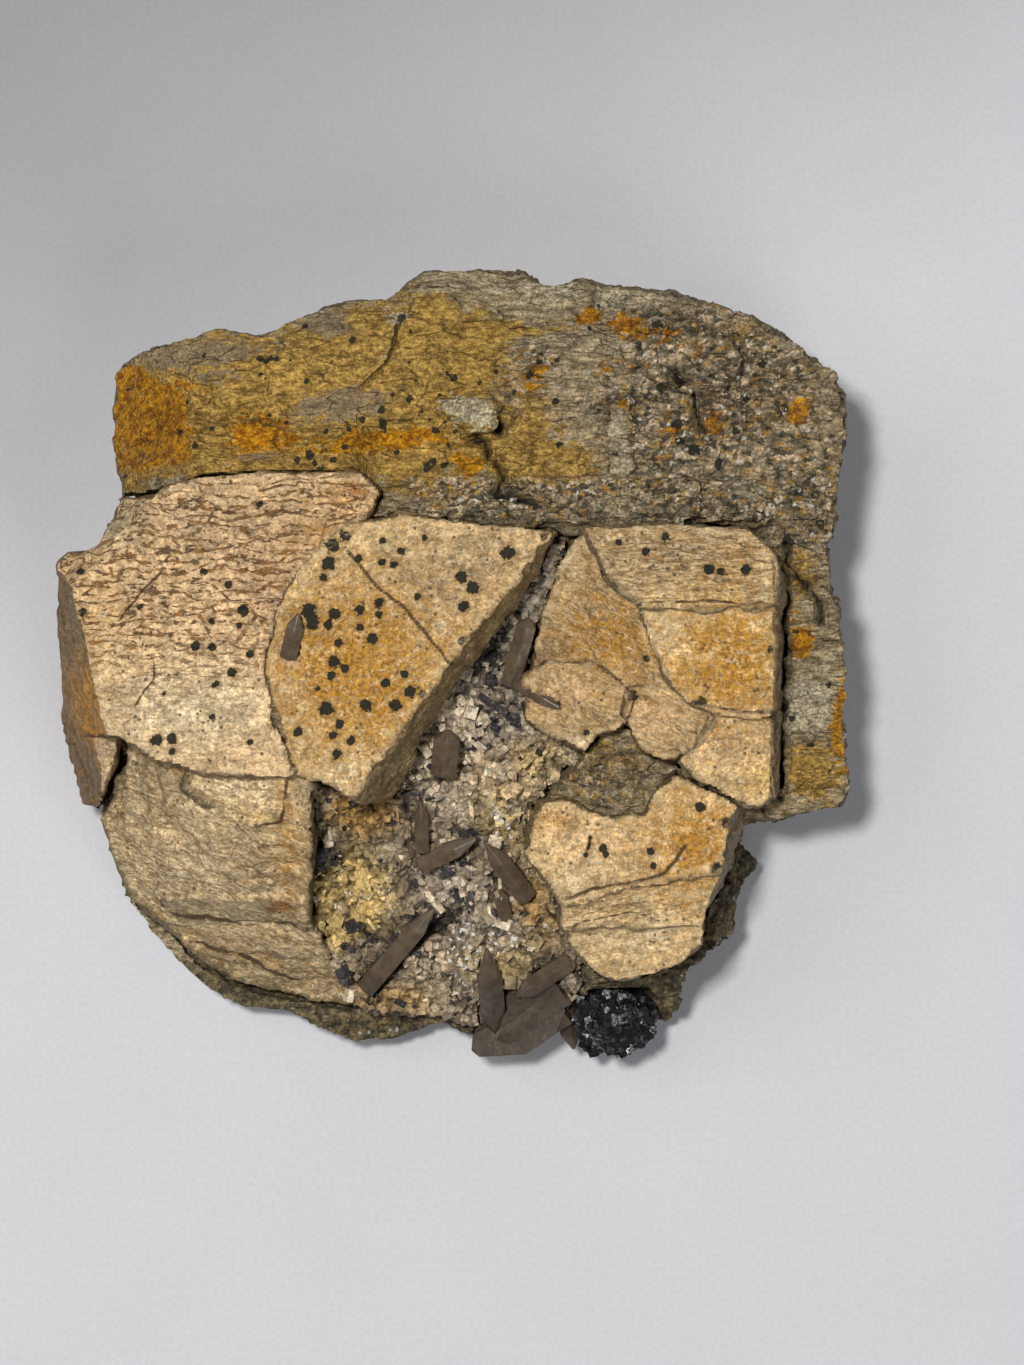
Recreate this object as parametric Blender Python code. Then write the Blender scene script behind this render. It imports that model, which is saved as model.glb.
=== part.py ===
"""Fluorite on matrix: blocky feldspar crystals on a weathered granular rock, parted by a V-shaped trough.

The trough is lined with a dark fluorite crust and crossed by smoky quartz, and a black fluorite cluster
sits at the front. Seen from above, +Y is the back edge, +X the right edge, and the flat base is z = 0.
Sizes below are millimetres, which MM turns into metres as each mesh is made.
"""

import math

import bmesh
import bpy
from mathutils import Matrix, Vector, noise

MM = 0.001
GAP = 0.3
ABOVE_ALL = 70.0

# The whole specimen, and how its wall falls in towards the base.
BASE_INSET = 8.0
WALL_RINGS = ((0.0, BASE_INSET), (0.2, 4.2), (0.45, 1.2), (0.75, 0.2))
WALL_ROUGHNESS = 1.1
HOST_GRID = 4.0
HOST_ROUGHNESS = 1.0

# Heights above the base, each where its piece is highest.
BACK_TOP = 39.0
CONTACT_RISE = 5.0
LEFT_TOP = 45.5
RIDGE_TOP = 49.5
RIGHT_TOP = 48.0
FRONT_TOP = 43.0
LOWER_LEFT_TOP = 40.0
SLAB_TOP = 35.0
HOLLOW_TOP = 31.0
LEDGE_ROOT = 26.0

# How deep the crystals are rooted in the rock, as the height of their undersides.
LEFT_ROOT = 12.0
RIDGE_ROOT = 16.0
RIGHT_ROOT = 20.0
FRONT_ROOT = 10.0
LOWER_LEFT_ROOT = 6.0

# The trough: its crust falls from the apex at the back to the front edge.
APEX_Y = 20.0
FRONT_Y = -57.0
TROUGH_APEX_TOP = 36.0
TROUGH_FRONT_TOP = 15.0
CRUST_THICKNESS = 5.0
CRUST_GRID = 3.2
CRUST_ROUGHNESS = 1.3

FELDSPAR_EDGE = 0.5
SHARP_BELOW = 24.0

# The lower left crystal: how it falls away from its highest spot, and the drop at its front rib.
LOWER_LEFT_CENTRE = Vector((-27.0, -17.0))
LOWER_LEFT_FALL = 0.024
RIB_Y = -39.6
RIB_DROP = 2.4

# The dark fluorite: cubes grown together over a rounded core, and larger cubes in the trough's crust.
CLUSTER_CENTRE = Vector((24.6, -54.6, 12.0))
CLUSTER_RADII = Vector((4.2, 3.6, 5.6))
CLUSTER_CUBES = 30
CUBE_SIDE = 3.2
GOLDEN_ANGLE = math.radians(137.5)
CRUST_CUBES = (
    (4.2, 3.0, 2.6), (6.6, 1.2, 2.2), (7.0, -6.4, 2.8), (5.4, -8.2, 2.2), (-7.6, -18.2, 2.6),
    (-16.2, -20.0, 2.2), (-19.4, -29.6, 3.0), (-17.0, -31.6, 2.4), (-15.0, -41.0, 2.8), (1.6, -33.0, 2.4),
    (-9.0, -30.8, 2.4), (14.6, -47.2, 2.6), (10.6, -42.0, 2.2), (0.6, -52.0, 2.4), (2.6, -19.4, 2.2),
)

# Smoky quartz blades: tail, tip, and width for the ones grown together.
FAN_BLADES = (
    ((14.8, -47.6, 17.0), (3.2, -56.6, 14.4), 4.0),
    ((16.8, -50.2, 16.2), (3.6, -59.6, 13.2), 4.6),
    ((17.2, -53.2, 14.4), (6.6, -60.0, 11.6), 4.6),
    ((16.6, -50.4, 12.6), (18.4, -59.2, 10.0), 3.6),
)
FAN_CORE = (
    (2.8, -56.8), (7.8, -54), (11, -50.6), (15.2, -49), (17, -53), (15.6, -56.6), (11, -59.8), (3.8, -60.2),
    (2.6, -59.2),
)
FAN_ROOT = 6.0
FAN_FRONT_TOP = 14.6
FAN_RISE = 0.24
CROSS_BLADE = ((9.4, -2.6, 32.8), (16.0, -6.4, 36.4), 2.3)

# The rock's outline from above, clockwise from its back left corner.
HOST_OUTLINE = (
    (-52, 44.5), (-49, 46.5), (-43, 49), (-36, 50.8), (-29, 50), (-25.5, 52), (-20, 54.4), (-15, 55.5),
    (-10, 55.4), (-7.5, 57.5), (-4, 60), (4, 60.4), (11, 59.4), (15, 58), (19, 58.7), (26, 57.5), (33, 56.5),
    (38, 55), (43.5, 53), (49.5, 50.2), (54, 47), (58, 43.5), (58.6, 40), (59.3, 34.5), (58.5, 29), (57.5, 23),
    (56.5, 17), (57.5, 11), (58.8, 5), (59.4, -4), (59.3, -13), (60.5, -18.3), (59, -21), (52, -22.5),
    (43.8, -25), (44.8, -27), (46.6, -31.2), (44.5, -34), (42.5, -40.5), (40, -43.3), (35.5, -45.5), (35.3, -50),
    (33.5, -54.5), (30, -56), (24, -57), (16, -56), (11, -57.5), (3, -57.5), (-2.5, -55), (-8.2, -57.5),
    (-15, -58.4), (-20, -56.8), (-25, -54), (-32, -53.2), (-38, -50.8), (-42.6, -46.6), (-46.2, -41.4), (-50, -37),
    (-52.5, -30), (-54, -23), (-57.5, -21), (-58.8, -10), (-59.2, 5), (-57.5, 16), (-53.3, 18.3), (-50.5, 25.5),
    (-51.8, 31), (-52, 38),
)

# The facets and steps of the feldspar crystals, from above.
LEFT_OUTLINE = (
    (-59.9, 15.3), (-58.5, 17), (-53.3, 18.3), (-50.3, 25.2), (-44, 26), (-37, 28), (-24, 28.6), (-14, 28.3),
    (-11, 26), (-15, 20), (-20, 17.5), (-24, 13), (-26.5, 8), (-27.6, 3), (-28.3, -1.8), (-26.5, -7),
    (-25, -13), (-24, -16.3), (-32, -15.9), (-38, -15.5), (-44, -13.6), (-50, -10.8), (-60.4, -10.4),
    (-60.4, -5), (-60.5, 6),
)
RIDGE_OUTLINE = (
    (-20, 17), (-15.5, 20.5), (-8, 22.3), (3, 20.8), (15.2, 19.8), (9, 9.2), (0.5, -1.5), (-5, -10),
    (-8, -17), (-9.5, -19.5), (-13.5, -20.5), (-18, -17), (-24, -16), (-25, -12.5), (-26.6, -8), (-28.2, -1.5),
    (-27.4, 3), (-26.3, 8), (-23.8, 13),
)
LEFT_LEDGE_OUTLINE = (
    (-60.3, -9.5), (-50.4, -9.5), (-50.4, -10.9), (-51, -15), (-54, -21.8), (-59, -21.5), (-60.1, -16.5),
)
LOWER_LEFT_OUTLINE = (
    (-24, -15), (-22.2, -16), (-21.5, -27), (-22.2, -38.5), (-19, -45), (-15.5, -52.6), (-21, -52), (-29, -50.4),
    (-34.5, -48.6), (-39, -46), (-43.4, -41.4), (-48.6, -37), (-51.5, -31.5), (-53.8, -25), (-54.6, -22.3),
    (-50, -14.6), (-49, -9.8), (-44, -12.2), (-38, -14.2), (-32, -14.6),
)
BRIGHT_LEDGE = (
    (-40, -13.6), (-24.4, -14), (-24.6, -20), (-26, -24), (-30, -24.2), (-36, -21.2), (-40.4, -18.6),
)
RIGHT_BACK_STEP = (
    (20, 20.2), (32, 20.8), (44, 20.2), (47.5, 17.3), (49.6, 13.5), (49.6, 8.4), (28.6, 8.6), (26.5, 10.5),
    (23.5, 12.6),
)
RIGHT_MIDDLE_STEP = (
    (28.2, 9.2), (49.6, 9.2), (49.7, -6.5), (45, -7.8), (40, -7.2), (36, -5.7), (33, -3.2), (31, 0), (29.5, 4),
)
RIGHT_FRONT_STEP = (
    (36, -5.2), (49.7, -6), (49.6, -18.5), (46, -20.8), (44, -20.6), (41, -18.7), (36, -16.2), (34, -14.2),
    (37.4, -11), (39.6, -7.5),
)
INNER_SLOPE = (
    (18.2, 18.5), (19.8, 19.4), (23.3, 12.4), (26.3, 10.2), (28, 8.6), (29.3, 4), (30.8, -0.2), (33, -3.4),
    (28, -5), (20, -3), (11.3, -2.6), (12.4, 2), (13.4, 6), (14.9, 10), (16, 14),
)
INNER_LEFT_STEP = (
    (10.8, -1.7), (14, 0.5), (20.5, 0.2), (25, -2.3), (26.7, -5), (26, -8.6), (21.2, -10.5), (19.8, -12.8),
    (14, -9.6), (11.3, -8),
)
INNER_RIGHT_STEP = (
    (26, -3.5), (33, -3.6), (35.8, -5.8), (39.2, -7.6), (37, -11), (33.6, -14.3), (30, -13.6), (27.5, -11),
    (26, -7),
)
FRONT_BACK_STEP = (
    (13.5, -21), (17, -20.7), (20.5, -22.5), (25, -23.5), (29, -22.3), (31, -19.2), (33.5, -17), (38, -19.2),
    (43, -21.2), (43.4, -25), (42, -31), (37, -31), (32, -32.4), (25, -33.4), (17, -36), (15, -33),
    (11.3, -28.5), (11.4, -25),
)
FRONT_MIDDLE_STEP = (
    (14.6, -32), (26, -32), (35, -30), (42.1, -30.4), (40.6, -34), (38.3, -37), (37.6, -39.5), (30, -39.5),
    (22, -39), (16.6, -39.6), (16.4, -36),
)
FRONT_LOWER_STEP = (
    (16.8, -34.8), (38.9, -34.8), (37.3, -42), (34.5, -44.6), (30, -46.7), (25, -47.7), (22.3, -46.9),
    (19.8, -44.6), (17.3, -41),
)
CRUST_OUTLINE = (
    (15, 20.5), (17, 19), (16, 14), (15, 10), (13.4, 6), (12.2, 2), (11, -2), (11.3, -8), (16, -11),
    (19.5, -13.5), (15, -18), (13, -21.5), (11.2, -25), (11.2, -28.7), (14.8, -33), (16.3, -36), (17.4, -41),
    (19.8, -44.8), (19, -50), (17, -53), (12, -55.5), (4, -55.8), (-4, -54), (-13, -53.5), (-16, -52),
    (-19, -45), (-22, -38.5), (-21.3, -27), (-22, -18), (-13.5, -20), (-9, -19), (-5, -10), (0.5, -1.5),
    (9, 9.2),
)

# Ledges and blocks that stand out of the rock's back slab: outline, and the heights of three points.
HOST_LEDGES = (
    (
        ((-40.2, 30.4), (-39.6, 34), (-36, 36.4), (-30, 36.8), (-25, 35.6), (-24.2, 30.2), (-30, 29), (-38, 29)),
        ((-40, 31, 36.6), (-25, 31, 40.2), (-33, 36, 40.8)),
    ),
    (
        ((-2.2, 39.2), (1.5, 40.6), (5.5, 40.4), (7.6, 37.6), (6.4, 35.4), (2.2, 35.2), (-1, 37)),
        ((-2, 39, 40.0), (7, 38, 41.4), (2, 35.4, 41.2)),
    ),
    (
        ((22.4, 40.4), (26.8, 41), (27.4, 36), (27, 30), (24.6, 28.6), (22.8, 31), (22.2, 36)),
        ((22.4, 40, 41.8), (27, 40, 41.2), (25, 29, 40.6)),
    ),
    (
        ((30.6, 27.6), (33, 29.2), (37.2, 27.4), (37.6, 22.4), (34, 20.9), (31.4, 21.2), (31.8, 24)),
        ((31, 28, 40.6), (37, 27, 42.6), (33, 21.5, 45.4)),
    ),
    (
        ((-25.5, 44), (-22, 50.5), (-14, 53.6), (-8, 52), (-9.6, 46), (-14, 41.4), (-20, 41)),
        ((-25, 44, 38.8), (-8, 50, 40.6), (-14, 41.5, 41.4)),
    ),
    (
        ((28, 46.5), (32, 51.5), (40, 50.4), (44, 45.8), (41, 41), (34, 40.6), (29.4, 42.4)),
        ((28, 46, 39.6), (42, 46, 41.6), (34, 40.8, 41.4)),
    ),
)


def offset(outline, distance):
    """The outline moved outward by a distance, or inward by a negative one, at its own corners."""
    area = sum(a[0] * b[1] - b[0] * a[1] for a, b in zip(outline, outline[1:] + outline[:1]))
    side = math.copysign(distance, area)
    moved = []
    for before, here, after in zip(outline[-1:] + outline[:-1], outline, outline[1:] + outline[:1]):
        into = (Vector(here) - Vector(before)).normalized()
        out = (Vector(after) - Vector(here)).normalized()
        across = Vector((into.y + out.y, -into.x - out.x)).normalized()
        reach = side / max(0.5, across.dot(Vector((into.y, -into.x))))
        moved.append(tuple(Vector(here) + across * reach))
    return tuple(moved)


def level(z):
    return lambda x, y: z


def rough(x, y, z, size, depth):
    """Smooth seeded unevenness, the same at each run."""
    return depth * noise.fractal(Vector((x, y, z)) / size, 0.6, 2.2, 3, noise_basis="PERLIN_ORIGINAL")


def upright(outline, bottom, top, grid=None, rings=()):
    """A closed mesh over an outline, between two height functions, in millimetres.

    A grid splits its top into small faces. Each ring is a share of the height, and how far the wall
    stands in there towards the middle. Until the last loop, a point's height is its share of the wall.
    """
    bm = bmesh.new()
    cap = bm.faces.new([bm.verts.new((x, y, 0.0)) for x, y in outline])
    shares = [share for share, inset in rings if share > 0.0] + [1.0]
    for share in shares:
        lifted = bmesh.ops.extrude_face_region(bm, geom=[cap])["geom"]
        for vert in (part for part in lifted if isinstance(part, bmesh.types.BMVert)):
            vert.co.z = share
        if share != shares[0]:
            bmesh.ops.delete(bm, geom=[cap], context="FACES_ONLY")
        cap = next(part for part in lifted if isinstance(part, bmesh.types.BMFace))
    for axis in (0, 1) if grid else ():
        low = min(point[axis] for point in outline)
        high = max(point[axis] for point in outline)
        across = Vector((1.0 - axis, axis, 0.0))
        for step in range(1, int((high - low) / grid) + 1):
            caps = [f for f in bm.faces if min(v.co.z for v in f.verts) > 0.999]
            split = set(caps) | {e for f in caps for e in f.edges} | {v for f in caps for v in f.verts}
            bmesh.ops.bisect_plane(bm, geom=list(split), plane_co=across * (low + step * grid), plane_no=across)
    insets = dict(rings)
    for vert in bm.verts:
        x, y, share = vert.co
        inset = next((d for s, d in insets.items() if abs(s - share) < 0.001), 0.0)
        uneven = WALL_ROUGHNESS * noise.noise(Vector((x, y, 40.0 * share)) / 9.0) if inset else 0.0
        inwards = Vector((x, y, 0.0)).normalized() * (inset + uneven) if inset else Vector()
        vert.co.z = bottom(x, y) * (1.0 - share) + top(x, y) * share
        vert.co -= inwards
    return bm


def chamfer(bm, width):
    """Worn edges round the top of a crystal; its upright edges stay sharp."""
    bm.normal_update()
    sharp = []
    for edge in bm.edges:
        run = edge.verts[0].co - edge.verts[1].co
        flat = abs(run.z) < 0.7 * run.length
        if flat and min(v.co.z for v in edge.verts) > SHARP_BELOW and edge.is_convex:
            if edge.calc_face_angle() > math.radians(30):
                sharp.append(edge)
    bmesh.ops.bevel(bm, geom=sharp, offset=width, segments=1, affect="EDGES", profile=0.5, clamp_overlap=True)


def finished_mesh(bm, name):
    bmesh.ops.recalc_face_normals(bm, faces=bm.faces)
    bmesh.ops.triangulate(bm, faces=bm.faces)
    bmesh.ops.scale(bm, verts=bm.verts, vec=(MM, MM, MM))
    mesh = bpy.data.meshes.new(name)
    bm.to_mesh(mesh)
    bm.free()
    return mesh


def add(bm, name, collection):
    thing = bpy.data.objects.new(name, finished_mesh(bm, name))
    collection.objects.link(thing)
    return thing


def helper(bm, name):
    """A cutter, or a shape that a piece is joined from: kept, but not part of the specimen."""
    thing = add(bm, name, cutters)
    thing.hide_render = True
    thing.display_type = "WIRE"
    return thing


def boolean(thing, operand, operation):
    step = thing.modifiers.new(operand.name, "BOOLEAN")
    step.operation = operation
    step.object = operand
    step.solver = "EXACT"


def settle(thing):
    """The piece's modifiers applied, and any crumb that a cut left loose taken away."""
    bpy.context.view_layer.update()
    shape = bpy.data.meshes.new_from_object(thing.evaluated_get(bpy.context.evaluated_depsgraph_get()))
    thing.modifiers.clear()
    bm = bmesh.new()
    bm.from_mesh(shape)
    bmesh.ops.triangulate(bm, faces=bm.faces)
    unseen = set(bm.faces)
    bodies = []
    while unseen:
        front = [unseen.pop()]
        body = set(front)
        while front:
            near = {face for edge in front.pop().edges for face in edge.link_faces} & unseen
            unseen -= near
            body |= near
            front += near
        bodies.append(body)
    bodies.sort(key=len)
    bmesh.ops.delete(bm, geom=[face for body in bodies[:-1] for face in body], context="FACES")
    bm.to_mesh(shape)
    bm.free()
    thing.data = shape


def clear_of(thing, room_makers):
    """Cut a piece back so that it keeps the gap to each earlier piece."""
    for cutter in room_makers:
        boolean(thing, cutter, "DIFFERENCE")
    settle(thing)


def room(name, outline, bottom):
    """The space that an upright piece needs: its own outline and a gap, open to above."""
    return helper(upright(offset(outline, GAP), level(bottom - GAP), level(ABOVE_ALL)), f"{name}_room")


def stone(name, colour, roughness, clear=False):
    material = bpy.data.materials.new(name)
    material.use_nodes = True
    shader = material.node_tree.nodes["Principled BSDF"]
    shader.inputs["Base Color"].default_value = (*colour, 1.0)
    shader.inputs["Roughness"].default_value = roughness
    shader.inputs["Metallic"].default_value = 0.0
    if clear:
        shader.inputs["Transmission Weight"].default_value = 1.0
        shader.inputs["IOR"].default_value = 1.54
    return material


for leftover in list(bpy.data.objects):
    bpy.data.objects.remove(leftover, do_unlink=True)

specimen = bpy.data.collections.new("fluorite_on_matrix")
cutters = bpy.data.collections.new("cutters")
bpy.context.scene.collection.children.link(specimen)
bpy.context.scene.collection.children.link(cutters)

CREAM = stone("cream_feldspar", (0.62, 0.44, 0.25), 0.6)
ROCK = stone("granular_matrix", (0.28, 0.2, 0.1), 0.8)
CRUST = stone("dark_crust", (0.2, 0.16, 0.13), 0.5)
BLACK = stone("dark_fluorite", (0.03, 0.03, 0.04), 0.25)
SMOKY = stone("smoky_quartz", (0.2, 0.15, 0.1), 0.1, clear=True)


# Smoky quartz: six-sided prisms with pointed ends, lying in the trough and standing at its front.
def quartz(name, tail, tip, width, thickness, point=0.3, roll=0.0):
    """A flattened six-sided prism from tail to tip; the point takes its share of the length."""
    tail, tip = Vector(tail), Vector(tip)
    axis = tip - tail
    shapes = []
    for grown in (0.0, GAP):
        bm = bmesh.new()
        length = axis.length + 2 * grown
        body = length * (1.0 - point)
        bmesh.ops.create_cone(
            bm, cap_ends=True, segments=6, radius1=0.5, radius2=0.5, depth=body,
            matrix=Matrix.Translation((0, 0, body / 2)),
        )
        end = max(bm.faces, key=lambda f: f.calc_center_median().z)
        peak = bmesh.ops.extrude_face_region(bm, geom=[end])["geom"]
        peak = [v for v in peak if isinstance(v, bmesh.types.BMVert)]
        bmesh.ops.delete(bm, geom=[end], context="FACES_ONLY")
        bmesh.ops.translate(bm, verts=peak, vec=(0, 0, length * point))
        bmesh.ops.scale(bm, verts=peak, vec=(0.14, 0.2, 1.0))
        bmesh.ops.scale(bm, verts=bm.verts, vec=(width + 2 * grown, thickness + 2 * grown, 1.0))
        turn = axis.to_track_quat("Z", "Y").to_matrix().to_4x4() @ Matrix.Rotation(roll, 4, "Z")
        start = tail - axis.normalized() * grown
        bmesh.ops.transform(bm, matrix=Matrix.Translation(start) @ turn, verts=bm.verts)
        shapes.append(bm)
    crystal = add(shapes[0], name, specimen)
    crystal.data.materials.append(SMOKY)
    return helper(shapes[1], f"{name}_room")


quartz_rooms = [
    quartz("quartz_crossed_blades", (8.5, -3.0, 31.6), (11.4, 7.2, 34.8), 3.4, 2.4, 0.12),
    quartz("quartz_slab", (-1.6, -16.4, 28.0), (-0.8, -9.8, 31.5), 4.6, 3.4, 0.2),
    quartz("quartz_short_prism", (-4.8, -28.2, 24.5), (-5.0, -20.8, 28.5), 2.4, 2.2, 0.25),
    quartz("quartz_lens", (-5.2, -30.6, 23.0), (3.4, -26.4, 26.0), 3.2, 2.4, 0.35),
    quartz("quartz_right_blade", (11.2, -35.4, 21.4), (5.0, -27.2, 27.6), 3.6, 2.6, 0.3),
    quartz("quartz_brown_prism", (8.0, -39.0, 19.6), (6.9, -34.2, 22.8), 2.5, 2.2, 0.2),
    quartz("quartz_fissure_blade", (-13.6, -49.6, 18.0), (-3.0, -37.0, 24.0), 3.4, 3.0, 0.25),
    quartz("quartz_upright", (6.2, -56.0, 12.6), (5.0, -43.2, 25.0), 4.4, 4.4, 0.42),
    quartz("quartz_side_prism", (17.6, -45.4, 18.5), (9.4, -50.6, 21.0), 3.4, 3.0, 0.25),
]
quartz_on_ridge = quartz("quartz_on_ridge", (-24.6, 1.2, 43.2), (-23.0, 7.6, 46.6), 3.0, 2.6, 0.3)


def grow_blade(crystal, name, tail, tip, width, thickness):
    """Join one more blade to a quartz crystal, and keep the space that it needs."""
    quartz_rooms.append(quartz(name, tail, tip, width, thickness))
    blade = bpy.data.objects[name]
    specimen.objects.unlink(blade)
    cutters.objects.link(blade)
    blade.hide_render = True
    blade.display_type = "WIRE"
    boolean(crystal, blade, "UNION")


# Two blades at the trough's right side have grown through each other.
crossed_blades = bpy.data.objects["quartz_crossed_blades"]
grow_blade(crossed_blades, "cross_blade", *CROSS_BLADE, 2.2)
settle(crossed_blades)

# The fan of broad quartz crystals at the front edge has grown into one piece.
def fan_top(x, y):
    return FAN_FRONT_TOP + FAN_RISE * (y - min(spot[1] for spot in FAN_CORE))


quartz_fan = add(upright(FAN_CORE, level(FAN_ROOT), fan_top), "quartz_fan", specimen)
quartz_fan.data.materials.append(SMOKY)
for number, (tail, tip, width) in enumerate(FAN_BLADES):
    grow_blade(quartz_fan, f"fan_blade_{number}", tail, tip, width, 3.4)
quartz_rooms.append(room("quartz_fan", FAN_CORE, FAN_ROOT))
clear_of(quartz_fan, [bpy.data.objects["quartz_upright_room"], bpy.data.objects["quartz_side_prism_room"]])


# Feldspar: cream crystals with flat cleavage faces and steps.
def feldspar(name, bm, room_makers=()):
    chamfer(bm, FELDSPAR_EDGE)
    crystal = add(bm, name, specimen)
    crystal.data.materials.append(CREAM)
    if room_makers:
        clear_of(crystal, room_makers)
    return crystal


def cleave(bm, *facet):
    """Break the shape off along the flat facet through three points, and close it there."""
    a, b, c = (Vector(point) for point in facet)
    up = (b - a).cross(c - a)
    up = up if up.z > 0 else -up
    everything = bm.verts[:] + bm.edges[:] + bm.faces[:]
    cut = bmesh.ops.bisect_plane(bm, geom=everything, plane_co=a, plane_no=up, clear_outer=True)
    rim = [e for e in cut["geom_cut"] if isinstance(e, bmesh.types.BMEdge)]
    bmesh.ops.contextual_create(bm, geom=rim)


def shifted(facet, x):
    return tuple((point[0] + x, point[1], point[2]) for point in facet)


def cleaved(outline, root, *facets):
    """An upright block of crystal, rooted at a height and broken off along its facets."""
    bm = upright(outline, level(root), level(ABOVE_ALL))
    for facet in facets:
        cleave(bm, *facet)
    return bm


def grown_steps(name, steps, room_makers):
    """One crystal whose steps are blocks grown together."""
    first, *others = steps
    chamfer(first, FELDSPAR_EDGE)
    crystal = add(first, name, specimen)
    crystal.data.materials.append(CREAM)
    for number, step in enumerate(others, 2):
        chamfer(step, FELDSPAR_EDGE)
        boolean(crystal, helper(step, f"{name}_step_{number}"), "UNION")
    clear_of(crystal, room_makers)
    return crystal


# The ridge: a roof of two facets over a steep wall that drops into the trough.
crest_back = (14.8, 19.8, RIDGE_TOP - 2.7)
crest_middle = (-0.5, 0.5, RIDGE_TOP)
crest_front = (-13.0, -17.0, RIDGE_TOP - 4.0)
crease_end = (-15.5, 17.0, RIDGE_TOP - 3.5)
crack_end = (-24.0, -15.0, RIDGE_TOP - 5.7)
wall_foot = (3.0, -2.4, 31.0)
ridge = cleaved(
    RIDGE_OUTLINE, RIDGE_ROOT,
    (crest_middle, crease_end, crack_end),
    (crest_middle, crest_back, crease_end),
    (crest_back, crest_front, wall_foot),
)
feldspar("ridge_feldspar", ridge, [quartz_on_ridge] + quartz_rooms)
ridge_room = room("ridge_feldspar", RIDGE_OUTLINE, RIDGE_ROOT)

# The left crystal: a nearly level top, a dark steep left side and a pale corner facet at the back.
left_top = ((-15.0, 27.0, LEFT_TOP), (-28.0, -2.0, LEFT_TOP - 1.4), (-52.0, -10.0, LEFT_TOP - 3.2))
left_side = ((-58.6, 17.2, LEFT_TOP - 2.2), (-52.0, -10.0, LEFT_TOP - 3.2), (-60.6, -5.0, 18.0))
back_corner = ((-51.0, 17.8, LEFT_TOP - 2.0), (-44.5, 25.0, LEFT_TOP - 1.4), (-53.0, 24.0, 36.0))
left_main = cleaved(LEFT_OUTLINE, LEFT_ROOT, left_top, left_side, back_corner)
left_ledge = cleaved(
    LEFT_LEDGE_OUTLINE, LEFT_ROOT + 1.0, ((-52.0, -10.5, 34.0), (-58.0, -10.5, 32.0), (-54.0, -21.5, 27.5)),
    shifted(left_side, 0.25),
)
grown_steps("left_feldspar", [left_main, left_ledge], [ridge_room])
left_rooms = [
    room("left_feldspar", LEFT_OUTLINE, LEFT_ROOT),
    room("left_ledge", LEFT_LEDGE_OUTLINE, LEFT_ROOT),
]

# The right block: three steps that fall towards the front, with a thin dark side on the right.
right_side = ((48.6, 12.0, RIGHT_TOP - 1.0), (48.4, -20.0, RIGHT_TOP - 5.5), (50.0, -5.0, 30.0))
right_steps = [
    cleaved(
        RIGHT_BACK_STEP, RIGHT_ROOT,
        ((22.0, 19.5, RIGHT_TOP - 2.6), (46.0, 19.5, RIGHT_TOP - 2.0), (40.0, 9.0, RIGHT_TOP)), right_side,
    ),
    cleaved(
        RIGHT_MIDDLE_STEP, RIGHT_ROOT + 1.0,
        ((30.0, 8.8, RIGHT_TOP - 2.6), (48.0, 8.8, RIGHT_TOP - 1.2), (45.0, -7.5, RIGHT_TOP - 1.6)),
        shifted(right_side, -0.25),
    ),
    cleaved(
        RIGHT_FRONT_STEP, RIGHT_ROOT + 2.0,
        ((38.0, -7.0, RIGHT_TOP - 3.8), (48.0, -7.0, RIGHT_TOP - 3.6), (44.0, -20.0, RIGHT_TOP - 6.0)),
        shifted(right_side, -0.5),
    ),
]
grown_steps("right_feldspar", right_steps, [])
right_rooms = [
    room("right_back_step", RIGHT_BACK_STEP, RIGHT_ROOT),
    room("right_middle_step", RIGHT_MIDDLE_STEP, RIGHT_ROOT),
    room("right_front_step", RIGHT_FRONT_STEP, RIGHT_ROOT),
]

# The inner crystal: a slope into the trough, with two lower steps at its foot.
inner_steps = [
    cleaved(INNER_SLOPE, RIGHT_ROOT, ((12.0, 0.0, 31.5), (33.0, -3.0, 43.0), (19.0, 17.0, 38.5))),
    cleaved(INNER_LEFT_STEP, RIGHT_ROOT + 1.0, ((11.0, -5.0, 34.5), (26.0, -5.0, 38.8), (20.0, -12.0, 35.0))),
    cleaved(INNER_RIGHT_STEP, RIGHT_ROOT + 2.0, ((27.0, -6.0, 40.8), (38.5, -8.0, 42.6), (33.0, -14.0, 39.8))),
]
grown_steps("inner_feldspar", inner_steps, right_rooms + quartz_rooms)
inner_rooms = [
    room("inner_slope", INNER_SLOPE, RIGHT_ROOT),
    room("inner_left_step", INNER_LEFT_STEP, RIGHT_ROOT),
    room("inner_right_step", INNER_RIGHT_STEP, RIGHT_ROOT),
]

# The front crystal: three cleavage steps that fall towards the front edge.
front_side = ((42.2, -21.0, FRONT_TOP - 0.5), (39.6, -33.0, FRONT_TOP - 1.0), (43.2, -28.0, 30.0))
front_steps = [
    cleaved(
        FRONT_BACK_STEP, FRONT_ROOT,
        ((14.0, -24.0, FRONT_TOP - 1.6), (41.0, -22.0, FRONT_TOP), (25.0, -33.0, FRONT_TOP - 0.6)), front_side,
    ),
    cleaved(
        FRONT_MIDDLE_STEP, FRONT_ROOT + 1.0,
        ((18.0, -35.0, FRONT_TOP - 2.0), (37.0, -32.0, FRONT_TOP - 1.8), (28.0, -39.0, FRONT_TOP - 2.6)),
        shifted(front_side, -0.3),
    ),
    cleaved(
        FRONT_LOWER_STEP, FRONT_ROOT + 2.0,
        ((18.0, -40.0, FRONT_TOP - 4.0), (35.0, -39.0, FRONT_TOP - 3.8), (26.0, -47.5, FRONT_TOP - 8.0)),
        shifted(front_side, -0.6),
    ),
]
grown_steps("front_feldspar", front_steps, right_rooms)
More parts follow.
